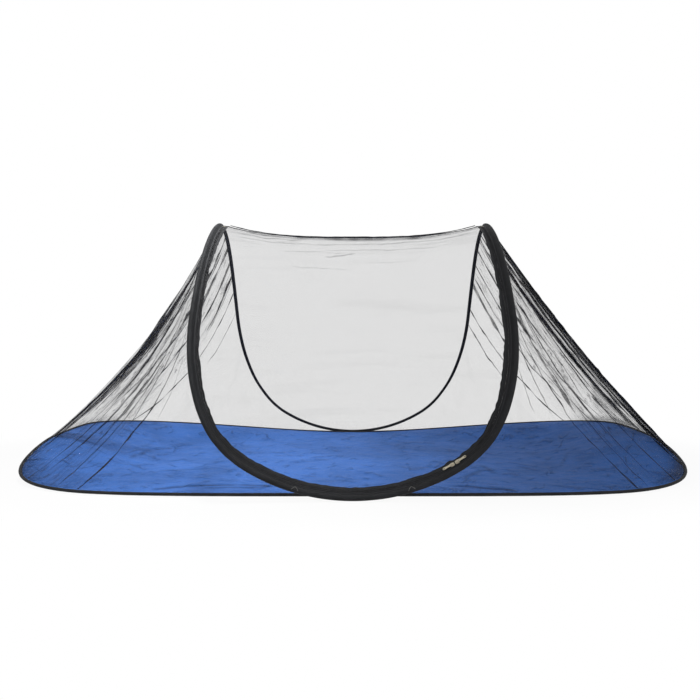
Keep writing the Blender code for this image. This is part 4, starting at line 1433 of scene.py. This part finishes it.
def ridge_bunch(place, height_share, end):
    """How tightly the net is bunched in the wrinkles under the ridge."""
    if end < 0:
        return 0.0
    most = 0.0
    for first, first_height, last, last_height, half, cover in RIDGE_WRINKLES:
        along = (place - first) / (last - first)
        if -0.05 < along < 1.05:
            height = first_height + (last_height - first_height) * along
            height += 0.006 * wobble(along, 0.3, first_height * 9)
            near = 1.0 - smooth_step(abs(height_share - height) * PEAK_HEIGHT / half)
            ends = smooth_step((along + 0.05) / 0.2) * smooth_step((1.05 - along) / 0.2)
            most = max(most, cover * near * ends * (0.75 + 0.5 * wobble(along, 0.08, 3)))
    return most


def build_span_net(name, node, end, inset, top_depth, body):
    """Net that fills one half of the hoop, from its foot up to the ridge."""
    shares = list(np.linspace(share_at_across(NET_START), SPAN_FINE_START, SPAN_LOW_ROWS))
    shares += list(np.linspace(SPAN_FINE_START + 0.01, share_at_depth(top_depth, end), SPAN_HIGH_ROWS))
    points, gathers, bunches, line_map = [], [], [], []
    for share in shares:
        point, _, inward, normal = hoop_frame(share, 1, end)
        edge = point + inward * inset - normal * TAPE_DROP
        nearer = inward * (band_narrowing(share, -1) if body == "door" else 0.0)
        height_share = edge.z / PEAK_HEIGHT
        bow = NET_BOW * 4.0 * height_share * (1.0 - min(height_share, 1.0))
        sag = RIDGE_SAG * height_share**RIDGE_SAG_POWER
        calm = smooth_step((height_share - 0.05) / 0.2) * smooth_step((1.0 - height_share) / 0.05)
        slack = smooth_step((height_share - 0.80) / 0.12) * smooth_step((1.0 - height_share) / 0.03)
        row, bunch = [], []
        for column in range(SPAN_COLUMNS + 1):
            place = 2.0 * column / SPAN_COLUMNS - 1.0
            middle = 1.0 - place * place
            ripple = 0.004 * middle * wobble(edge.z * 1.3 + place * 0.35, 0.07, 2 + end) * calm
            crumple = 0.0025 * wobble(place * 3 + edge.z * 9, 0.22, 8) * slack
            left = smooth_step(-place)
            beside = Vector((nearer.x * left, -nearer.y * left, -nearer.z * left))
            height = edge.z - sag * ridge_drop(place) + crumple
            row.append(Vector((edge.x * place, edge.y - end * bow * middle + ripple, height)) + beside)
            bunch.append(ridge_bunch(place, height_share, end))
        points.append(row)
        gathers.append([0.35 * smooth_step((height_share - 0.90) / 0.10)] * len(row))
        bunches.append(bunch)
        line_map.append([(edge.z, point.x) for point in row])
    across = [[point.x for point in row] for row in points]
    run = run_along([row[SPAN_COLUMNS // 2] for row in points])
    along = [[length] * len(across[0]) for length in run]
    marks = {GATHER: gathers, BUNCH: bunches}
    bm = grid_mesh(points, across, along, marks, line_map, flip=end < 0)
    made = finish_mesh(name, bm, net_finish("net_black_walls", sizes().net_cover), body, [node])


# Zip
def band_narrowing(share, side):
    """How much narrower the door's tape runs up the left of the hoop."""
    if side > 0:
        return 0.0
    return DOOR_NARROWING * smooth_step((share - 0.22) / 0.12) * smooth_step((0.80 - share) / 0.15)


def zip_tape_outline(low, high):
    """Outline of a zip tape, which lies under its teeth."""
    return [(u, v - TAPE_DROP) for u, v in rounded_strip(low, high, TAPE_THICKNESS)]


def build_zip_tapes():
    """The two tapes of the zip, on the frame and on the door."""
    path = half_hoop(-1, share_at_depth(DOOR_TOP_DEPTH, -1), ZIP_TAPE_STEPS)
    frames = [placed for _, placed in path]
    material = tape_finish("zip_tape_black", 0.0007, 0.0007, (0.0075, 0.0120), 0.9)
    bm = tube_mesh(frames, [zip_tape_outline(*FRAME_TAPE)] * len(frames))
    finish_mesh("zip_tape_outer", bm, material, "tent", ["zip_tape_frame"])
    rest = bend_length(1)
    outlines = []
    for share, _ in path:
        edge = DOOR_TAPE[1] - band_narrowing(abs(share), share)
        edge += 0.0030 * wobble(share, 0.035, 4) + 0.0018 * wobble(share, 0.010, 9)
        if share > 0.0:
            past = PLANAR_LENGTH * share / PLANAR_SHARE - rest
            rises = [max(1.0 - ((past - bump) / DOOR_BUMP_HALF) ** 2, 0.0) for bump in DOOR_BUMPS]
            edge += sum(DOOR_BUMP_DEPTH * rise for rise in rises)
        outlines.append(zip_tape_outline(DOOR_TAPE[0], edge))
    bm = tube_mesh(frames, outlines)
    finish_mesh("zip_tape_inner", bm, material, "door", ["zip_tape_door"])


def tooth(bm, placed, low, high, length):
    """One nylon tooth: a rounded bar across the band."""
    point, tangent, across, normal = placed
    rings = []
    for place, thick in ((low, 0.6), (low + 0.0005, 1.0), (high - 0.0005, 1.0), (high, 0.6)):
        centre = point + across * place + tangent * (TOOTH_SLANT * (place - low))
        along = tangent * (length * thick)
        out = normal * (TOOTH_HALF_HEIGHT * thick)
        rings.append([centre + along * u + out * v for u, v in TOOTH_SECTION])
    loft(bm, rings)


def zip_places(pitch, phase):
    """Shares of the teeth along the whole front hoop, evenly spaced."""
    fine = np.linspace(-ZIP_END_SHARE, ZIP_END_SHARE, ZIP_FINE_STEPS + 1)
    run = run_along([hoop_place(abs(share), 1 if share > 0 else -1, -1) for share in fine])
    return np.interp(np.arange(pitch * phase, run[-1], pitch), run, fine)


def build_zip_coils():
    """The teeth of the frame in one row, those of the door on both sides of the sliders."""
    pitch = sizes().coil_pitch
    rest_low = share_at_distance(bend_length(1) - NOTCH_HALF_LENGTH)
    rest_high = share_at_distance(bend_length(1) + NOTCH_HALF_LENGTH)
    material = coil_finish("zip_coil_black")
    for name, node, body, (low, high), phase, first, last in (
        ("zip_coil_outer", "zip_teeth_frame", "tent", FRAME_TEETH, 0.5, -1.0, 1.0),
        ("zip_coil_inner_lower", "zip_teeth_door_lower", "door", DOOR_TEETH, 1.0, -1.0, rest_low),
        ("zip_coil_inner_upper", "zip_teeth_door_upper", "door", DOOR_TEETH, 1.0, rest_high, 1.0),
    ):
        bm = bmesh.new()
        for share in zip_places(pitch, phase):
            if first < share < last:
                placed = hoop_frame(abs(share), 1 if share > 0 else -1, -1)
                tooth(bm, placed, low, high, pitch * TOOTH_SHARE)
        bmesh.ops.recalc_face_normals(bm, faces=bm.faces)
        finish_mesh(name, bm, material, body, [node])


# Sliders and pulls
def slider_axes(direction):
    """Place of a slider on the zip, with its directions along, across and out of the band."""
    share = share_at_distance(bend_length(1) + direction * SLIDER_OFFSET)
    point, tangent, across, normal = hoop_frame(share, 1, -1)
    return point + across * SLIT, tangent * direction, across, normal


def plate(bm, outline, low, high, axes):
    """Flat plate with the given outline between two heights."""
    point, along, across, up = axes
    places = [point + along * u + across * v for u, v in outline]
    loft(bm, [[place + up * height for place in places] for height in (low, high)])


def bevelled(made, width):
    modifier = made.modifiers.new("edges", "BEVEL")
    modifier.width = width
    modifier.segments = 2
    modifier.limit_method = "ANGLE"
    modifier.angle_limit = radians(35.0)
    made.data.set_sharp_from_angle(angle=radians(40.0))


def mirrored(outline, way=1):
    """An outline's points on the other side of its axis, along u or back."""
    return [(u, -v) for u, v in outline[::way]]


def build_sliders():
    """Two sliders, nose to nose: two plates, a middle blade, side rails and a bail."""
    material = metal_finish("zip_metal_pale", colours().metal, 0.42, 0.45)
    nose = [(-0.0060, -0.0030), (-0.0035, -0.0046), (0.0010, -0.0054)]
    nose += [(0.0045, -0.0050), (0.0060, -0.0030)]
    body_outline = nose + mirrored(nose, -1)
    wedge = [(-0.0050, -0.0002), (-0.0010, -0.0002), (0.0, 0.0), (-0.0010, 0.0002), (-0.0050, 0.0002)]
    rail = [(-0.0052, 0.0046), (0.0050, 0.0052), (0.0050, 0.0045), (-0.0052, 0.0039)]
    half = BAIL_HALF
    rising = [(-half, BAIL_FOOT), (-half * 0.92, BAIL_SHOULDER), (-half * 0.6, BAIL_TOP)]
    falling = [(half - 0.0011, BAIL_FOOT), (half - 0.0012, BAIL_INSIDE)]
    bail = rising + [(-u, v) for u, v in rising[::-1]] + falling + [(-u, v) for u, v in falling[::-1]]
    for label, direction in (("lower", -1), ("upper", 1)):
        axes = slider_axes(direction)
        point, along, across, normal = axes
        bm = bmesh.new()
        plate(bm, body_outline, PLATE_INNER, PLATE_OUTER, axes)
        plate(bm, body_outline, -PLATE_OUTER, -PLATE_INNER, axes)
        plate(bm, wedge, BLADE_GAP_TOP, BLADE_TOP, axes)
        plate(bm, wedge, -BLADE_TOP, BLADE_GAP_FOOT, axes)
        for outline in (mirrored(rail), rail):
            plate(bm, outline, RAIL_LOW, RAIL_HIGH, axes)
        plate(bm, bail, -BAIL_HALF_WIDTH, BAIL_HALF_WIDTH, (point, along, normal, across))
        bmesh.ops.recalc_face_normals(bm, faces=bm.faces)
        name = "slider_" + label
        made = finish_mesh(name + "_body", bm, material, name, ["zip_" + name])
        bevelled(made, 0.00025)
        build_pull(label, axes, material)


def ring_points(radius, count, centre, start=0.0, stop=2 * pi):
    angles = [start + (stop - start) * index / count for index in range(count + 1)]
    return [(centre + radius * cos(angle), radius * sin(angle)) for angle in angles]


def build_pull(label, axes, material):
    """Pull tab with a forked end round the bail and a round hole near its tip."""
    point, along, across, normal = axes
    centre = point + normal * (BAIL_TOP - BAIL_BAR - PULL_PLAY - PULL_HALF_THICKNESS)
    tail = PULL_LENGTH - PULL_HALF_WIDTH
    neck = [(0.0085, 0.0029), (0.0120, 0.0025), (0.0165, 0.0026), (0.0200, 0.0031)]
    edge = [(-PULL_END, PULL_HALF_WIDTH), (PULL_SLOT_END, PULL_HALF_WIDTH)] + neck
    outer = mirrored(edge) + ring_points(PULL_HALF_WIDTH, 12, tail, -pi / 2, pi / 2) + edge[::-1]
    slot = [(PULL_END, -0.0014), (0.0058, -0.0014), (0.0064, 0.0), (0.0058, 0.0014), (PULL_END, 0.0014)]
    bm = bmesh.new()
    edges = []
    for loop in (outer, slot, ring_points(PULL_HOLE, 16, tail)[:-1]):
        verts = [bm.verts.new(centre + along * u + across * v) for u, v in loop]
        for index, vert in enumerate(verts):
            edges.append(bm.edges.new((vert, verts[(index + 1) % len(verts)])))
    bmesh.ops.triangle_fill(bm, edges=edges, use_beauty=True)
    inside = []
    for face in bm.faces:
        middle = face.calc_center_median() - centre
        u, v = middle.dot(along), middle.dot(across)
        in_bore = (u - tail) ** 2 + v * v < (PULL_HOLE * 0.96) ** 2
        if in_bore or (PULL_END < u < PULL_SLOT_END and abs(v) < 0.00138):
            inside.append(face)
    bmesh.ops.delete(bm, geom=inside, context="FACES_ONLY")
    grown = bmesh.ops.extrude_face_region(bm, geom=list(bm.faces))
    moved = {item for item in grown["geom"] if isinstance(item, bmesh.types.BMVert)}
    for vert in bm.verts:
        vert.co += normal * (PULL_HALF_THICKNESS if vert in moved else -PULL_HALF_THICKNESS)
    bmesh.ops.recalc_face_normals(bm, faces=bm.faces)
    name = "pull_" + label
    made = finish_mesh(name + "_tab", bm, material, name, ["zip_" + name])
    bevelled(made, 0.0002)


def build_tacks():
    """Pale bar tacks where the front band crosses the floor's edge."""
    bm = bmesh.new()
    layer = bm.loops.layers.uv.new(CLOTH_MAP)
    corners = [(-TACK_HALF_LENGTH, -TACK_HALF_WIDTH), (TACK_HALF_LENGTH, -TACK_HALF_WIDTH)]
    corners += [(-u, -v) for u, v in corners]
    for side, place in TACK_PLACES:
        point, tangent, across, normal = hoop_frame(share_at_across(place), side, -1)
        middle = point + normal * (FRONT_SLEEVE_RADIUS + TACK_LIFT) + across * 0.001
        for lean in (-TACK_HALF_RUN, TACK_HALF_RUN):
            start = middle + tangent * lean - across * TACK_HALF_REACH
            finish = middle + across * TACK_HALF_REACH
            heading = (finish - start).normalized()
            beside = heading.cross(normal).normalized()
            for step in range(TACK_BLOCKS):
                spot = start.lerp(finish, (step + 0.5) / TACK_BLOCKS)
                drop = (spot - point).dot(across)
                arch = sqrt(max(FRONT_SLEEVE_RADIUS**2 - drop * drop, 0.0)) - FRONT_SLEEVE_RADIUS
                rings = []
                for up in (-TACK_HALF_THICKNESS, TACK_HALF_THICKNESS):
                    centre = spot + normal * (arch + TACK_LIFT + up)
                    rings.append([centre + heading * u + beside * v for u, v in corners])
                for face in loft(bm, rings):
                    for loop in face.loops:
                        away = loop.vert.co - start
                        loop[layer].uv = (away.dot(heading), away.dot(beside))
    bmesh.ops.recalc_face_normals(bm, faces=bm.faces)
    finish_mesh("bar_tacks", bm, thread_finish("tack_thread"), "tent")


def finish_metal_nodes():
    """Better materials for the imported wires, ferrules and zip stops."""
    steel = metal_finish("spring_steel_drawn", colours().steel, 0.30, 1.0)
    pale = metal_finish("zip_metal_pale", colours().metal, 0.42, 0.45)
    for name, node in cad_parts.items():
        if "wire" in name:
            chosen = steel
        elif "zip_stop" in name:
            chosen = pale
        else:
            continue
        node.data.materials.clear()
        node.data.materials.append(chosen)


# Stage
def white_for_camera(tree):
    """1 where a camera, glossy or transmission ray looks, else 0."""
    path = add_node(tree, "ShaderNodeLightPath")
    seen = path["Is Camera Ray"].maths("ADD", path["Is Glossy Ray"], clamp=True)
    return seen.maths("ADD", path["Is Transmission Ray"], clamp=True)


def build_world(settings):
    """Even light from all round, which looks white."""
    world = bpy.data.worlds.new("studio")
    bpy.context.scene.world = world
    world.use_nodes = True
    back = world.node_tree.nodes["Background"].inputs
    back["Color"].default_value = (1.0, 1.0, 1.0, 1.0)
    plug(back["Strength"], white_for_camera(world.node_tree) * (1.0 - settings.sky) + settings.sky)


def build_ground(settings):
    """Wide pale floor that keeps the shadow near the tent and looks white farther out."""
    mesh = bpy.data.meshes.new("studio_floor")
    corners = [(GROUND_HALF * x, GROUND_HALF * y, 0.0) for x, y in ((-1, -1), (1, -1), (1, 1), (-1, 1))]
    mesh.from_pydata(corners, [], [range(4)])
    made = add_object("studio_floor", mesh)
    material = bpy.data.materials.new("studio_floor")
    material.use_nodes = True
    tree = material.node_tree
    shader = tree.nodes["Principled BSDF"]
    shader.inputs["Base Color"].default_value = (*settings.ground, 1.0)
    shader.inputs["Roughness"].default_value = 0.9
    shader.inputs["Specular IOR Level"].default_value = 0.0
    glow = add_node(tree, "ShaderNodeEmission", {"Color": (1.0, 1.0, 1.0, 1.0), "Strength": 1.0})
    halved = vector_maths(object_place(tree), "MULTIPLY", {1: (0.5, 1.0, 1.0)})
    white = ramp(vector_maths(halved, "LENGTH", {}, "Value"), 0.50, 0.80, 0.93, 1.0)
    inputs = {0: white_for_camera(tree) * white, 1: Field(shader.outputs[0]), 2: glow[0]}
    mixed = add_node(tree, "ShaderNodeMixShader", inputs)
    plug(tree.nodes["Material Output"].inputs["Surface"], mixed[0])
    mesh.materials.append(material)


def add_lamp(name, place, target, size, power, spread=pi):
    data = bpy.data.lights.new(name, "AREA")
    data.spread = spread
    data.shape = "DISK"
    data.size = size
    data.energy = power
    made = add_object(name, data)
    made.location = place
    made.rotation_euler = (Vector(target) - Vector(place)).to_track_quat("-Z", "Y").to_euler()


def build_stage():
    """Light, floor and camera."""
    settings = bpy.context.scene.tent_stage
    bpy.context.scene.view_settings.view_transform = "Standard"
    build_world(settings)
    build_ground(settings)
    add_lamp("key_lamp", (-0.52, -0.30, 2.4), (-0.44, -0.05, 0.0), 0.5, settings.key_power, KEY_SPREAD)
    add_lamp("fill_lamp", (1.6, -3.4, 2.2), (0.0, 0.0, 0.3), 2.5, settings.fill_power)
    data = bpy.data.cameras.new("camera")
    data.sensor_width = 36.0
    data.lens = settings.lens
    data.shift_x = CAMERA_SHIFT
    made = add_object("camera", data)
    made.location = (0.0, -settings.camera_distance, settings.camera_height)
    made.rotation_euler = (pi / 2 - settings.camera_pitch, 0.0, 0.0)
    bpy.context.scene.camera = made


# Operators
class TENT_OT_stage(bpy.types.Operator):
    """Ground, lamps, even sky and camera"""

    bl_idname = "tent.stage"
    bl_label = "Stage"
    bl_options = {"REGISTER", "UNDO"}

    def execute(self, context):
        build_stage()
        return {"FINISHED"}


class TENT_OT_floor(bpy.types.Operator):
    """Blue floor cloth"""

    bl_idname = "tent.floor"
    bl_label = "Floor cloth"
    bl_options = {"REGISTER", "UNDO"}

    def execute(self, context):
        build_floor()
        return {"FINISHED"}


class TENT_OT_floor_tape(bpy.types.Operator):
    """Tape folded round the floor ring"""

    bl_idname = "tent.floor_tape"
    bl_label = "Floor edge tape"
    bl_options = {"REGISTER", "UNDO"}

    def execute(self, context):
        build_floor_tape()
        return {"FINISHED"}


class TENT_OT_sleeves(bpy.types.Operator):
    """Front and rear sleeves of the hoop"""

    bl_idname = "tent.sleeves"
    bl_label = "Hoop sleeves"
    bl_options = {"REGISTER", "UNDO"}

    def execute(self, context):
        build_sleeves()
        return {"FINISHED"}


class TENT_OT_seams(bpy.types.Operator):
    """End seam tapes, ridge tape and door hem"""

    bl_idname = "tent.seams"
    bl_label = "Seams"
    bl_options = {"REGISTER", "UNDO"}

    def execute(self, context):
        build_seams()
        return {"FINISHED"}


class TENT_OT_end_nets(bpy.types.Operator):
    """Four folded nets at the two ends"""

    bl_idname = "tent.end_nets"
    bl_label = "End nets"
    bl_options = {"REGISTER", "UNDO"}

    def execute(self, context):
        for label, side, end in (
            ("left_front", -1, -1),
            ("left_rear", -1, 1),
            ("right_front", 1, -1),
            ("right_rear", 1, 1),
        ):
            build_end_net(label, side, end)
        return {"FINISHED"}


class TENT_OT_walls(bpy.types.Operator):
    """Rear net wall and door net"""

    bl_idname = "tent.walls"
    bl_label = "Rear wall and door"
    bl_options = {"REGISTER", "UNDO"}

    def execute(self, context):
        inset = REAR_FLANGE - REAR_NET_TUCK
        build_span_net("rear_wall_net", "rear_net_wall", 1, inset, REAR_TOP_DEPTH, "tent")
        inset = DOOR_TAPE[1] - DOOR_NET_TUCK
        build_span_net("door_panel_net", "door_net", -1, inset, DOOR_TOP_DEPTH, "door")
        return {"FINISHED"}


class TENT_OT_zip(bpy.types.Operator):
    """Zip tapes and nylon teeth"""

    bl_idname = "tent.zip"
    bl_label = "Zip"
    bl_options = {"REGISTER", "UNDO"}

    def execute(self, context):
        build_zip_tapes()
        build_zip_coils()
        return {"FINISHED"}


class TENT_OT_sliders(bpy.types.Operator):
    """Two zip sliders and their pulls"""

    bl_idname = "tent.sliders"
    bl_label = "Zip sliders"
    bl_options = {"REGISTER", "UNDO"}

    def execute(self, context):
        build_sliders()
        return {"FINISHED"}


class TENT_OT_tacks(bpy.types.Operator):
    """Pale bar tacks on the front band"""

    bl_idname = "tent.tacks"
    bl_label = "Bar tacks"
    bl_options = {"REGISTER", "UNDO"}

    def execute(self, context):
        build_tacks()
        return {"FINISHED"}


class TENT_OT_metal(bpy.types.Operator):
    """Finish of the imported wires, ferrules and zip stops"""

    bl_idname = "tent.metal"
    bl_label = "Wires and stops"
    bl_options = {"REGISTER", "UNDO"}

    def execute(self, context):
        finish_metal_nodes()
        return {"FINISHED"}


OPERATORS = (
    TENT_OT_stage,
    TENT_OT_floor,
    TENT_OT_floor_tape,
    TENT_OT_sleeves,
    TENT_OT_seams,
    TENT_OT_end_nets,
    TENT_OT_walls,
    TENT_OT_zip,
    TENT_OT_sliders,
    TENT_OT_tacks,
    TENT_OT_metal,
)


class TENT_PT_panel(bpy.types.Panel):
    """Lists the tent's pieces and settings"""

    bl_idname = "TENT_PT_panel"
    bl_label = "Mosquito net tent"
    bl_space_type = "VIEW_3D"
    bl_region_type = "UI"
    bl_category = "Tent"

    def draw(self, context):
        for kind in OPERATORS:
            self.layout.operator(kind.bl_idname)
        for group in (context.scene.tent_sizes, context.scene.tent_colours, context.scene.tent_stage):
            box = self.layout.box()
            for name in group.__annotations__:
                box.prop(group, name)


GROUPS = (("tent_sizes", TentSizes), ("tent_colours", TentColours), ("tent_stage", TentStage))


def register():
    for name, kind in GROUPS:
        bpy.utils.register_class(kind)
        setattr(bpy.types.Scene, name, bpy.props.PointerProperty(type=kind))
    for kind in (*OPERATORS, TENT_PT_panel):
        bpy.utils.register_class(kind)


def unregister():
    for kind in reversed((*OPERATORS, TENT_PT_panel)):
        bpy.utils.unregister_class(kind)
    for name, kind in reversed(GROUPS):
        delattr(bpy.types.Scene, name)
        bpy.utils.unregister_class(kind)


def main():
    register()
    bpy.ops.tent.stage()
    bpy.ops.tent.floor()
    bpy.ops.tent.floor_tape()
    bpy.ops.tent.sleeves()
    bpy.ops.tent.seams()
    bpy.ops.tent.end_nets()
    bpy.ops.tent.walls()
    bpy.ops.tent.zip()
    bpy.ops.tent.sliders()
    bpy.ops.tent.tacks()
    bpy.ops.tent.metal()


if __name__ == "__main__":
    main()
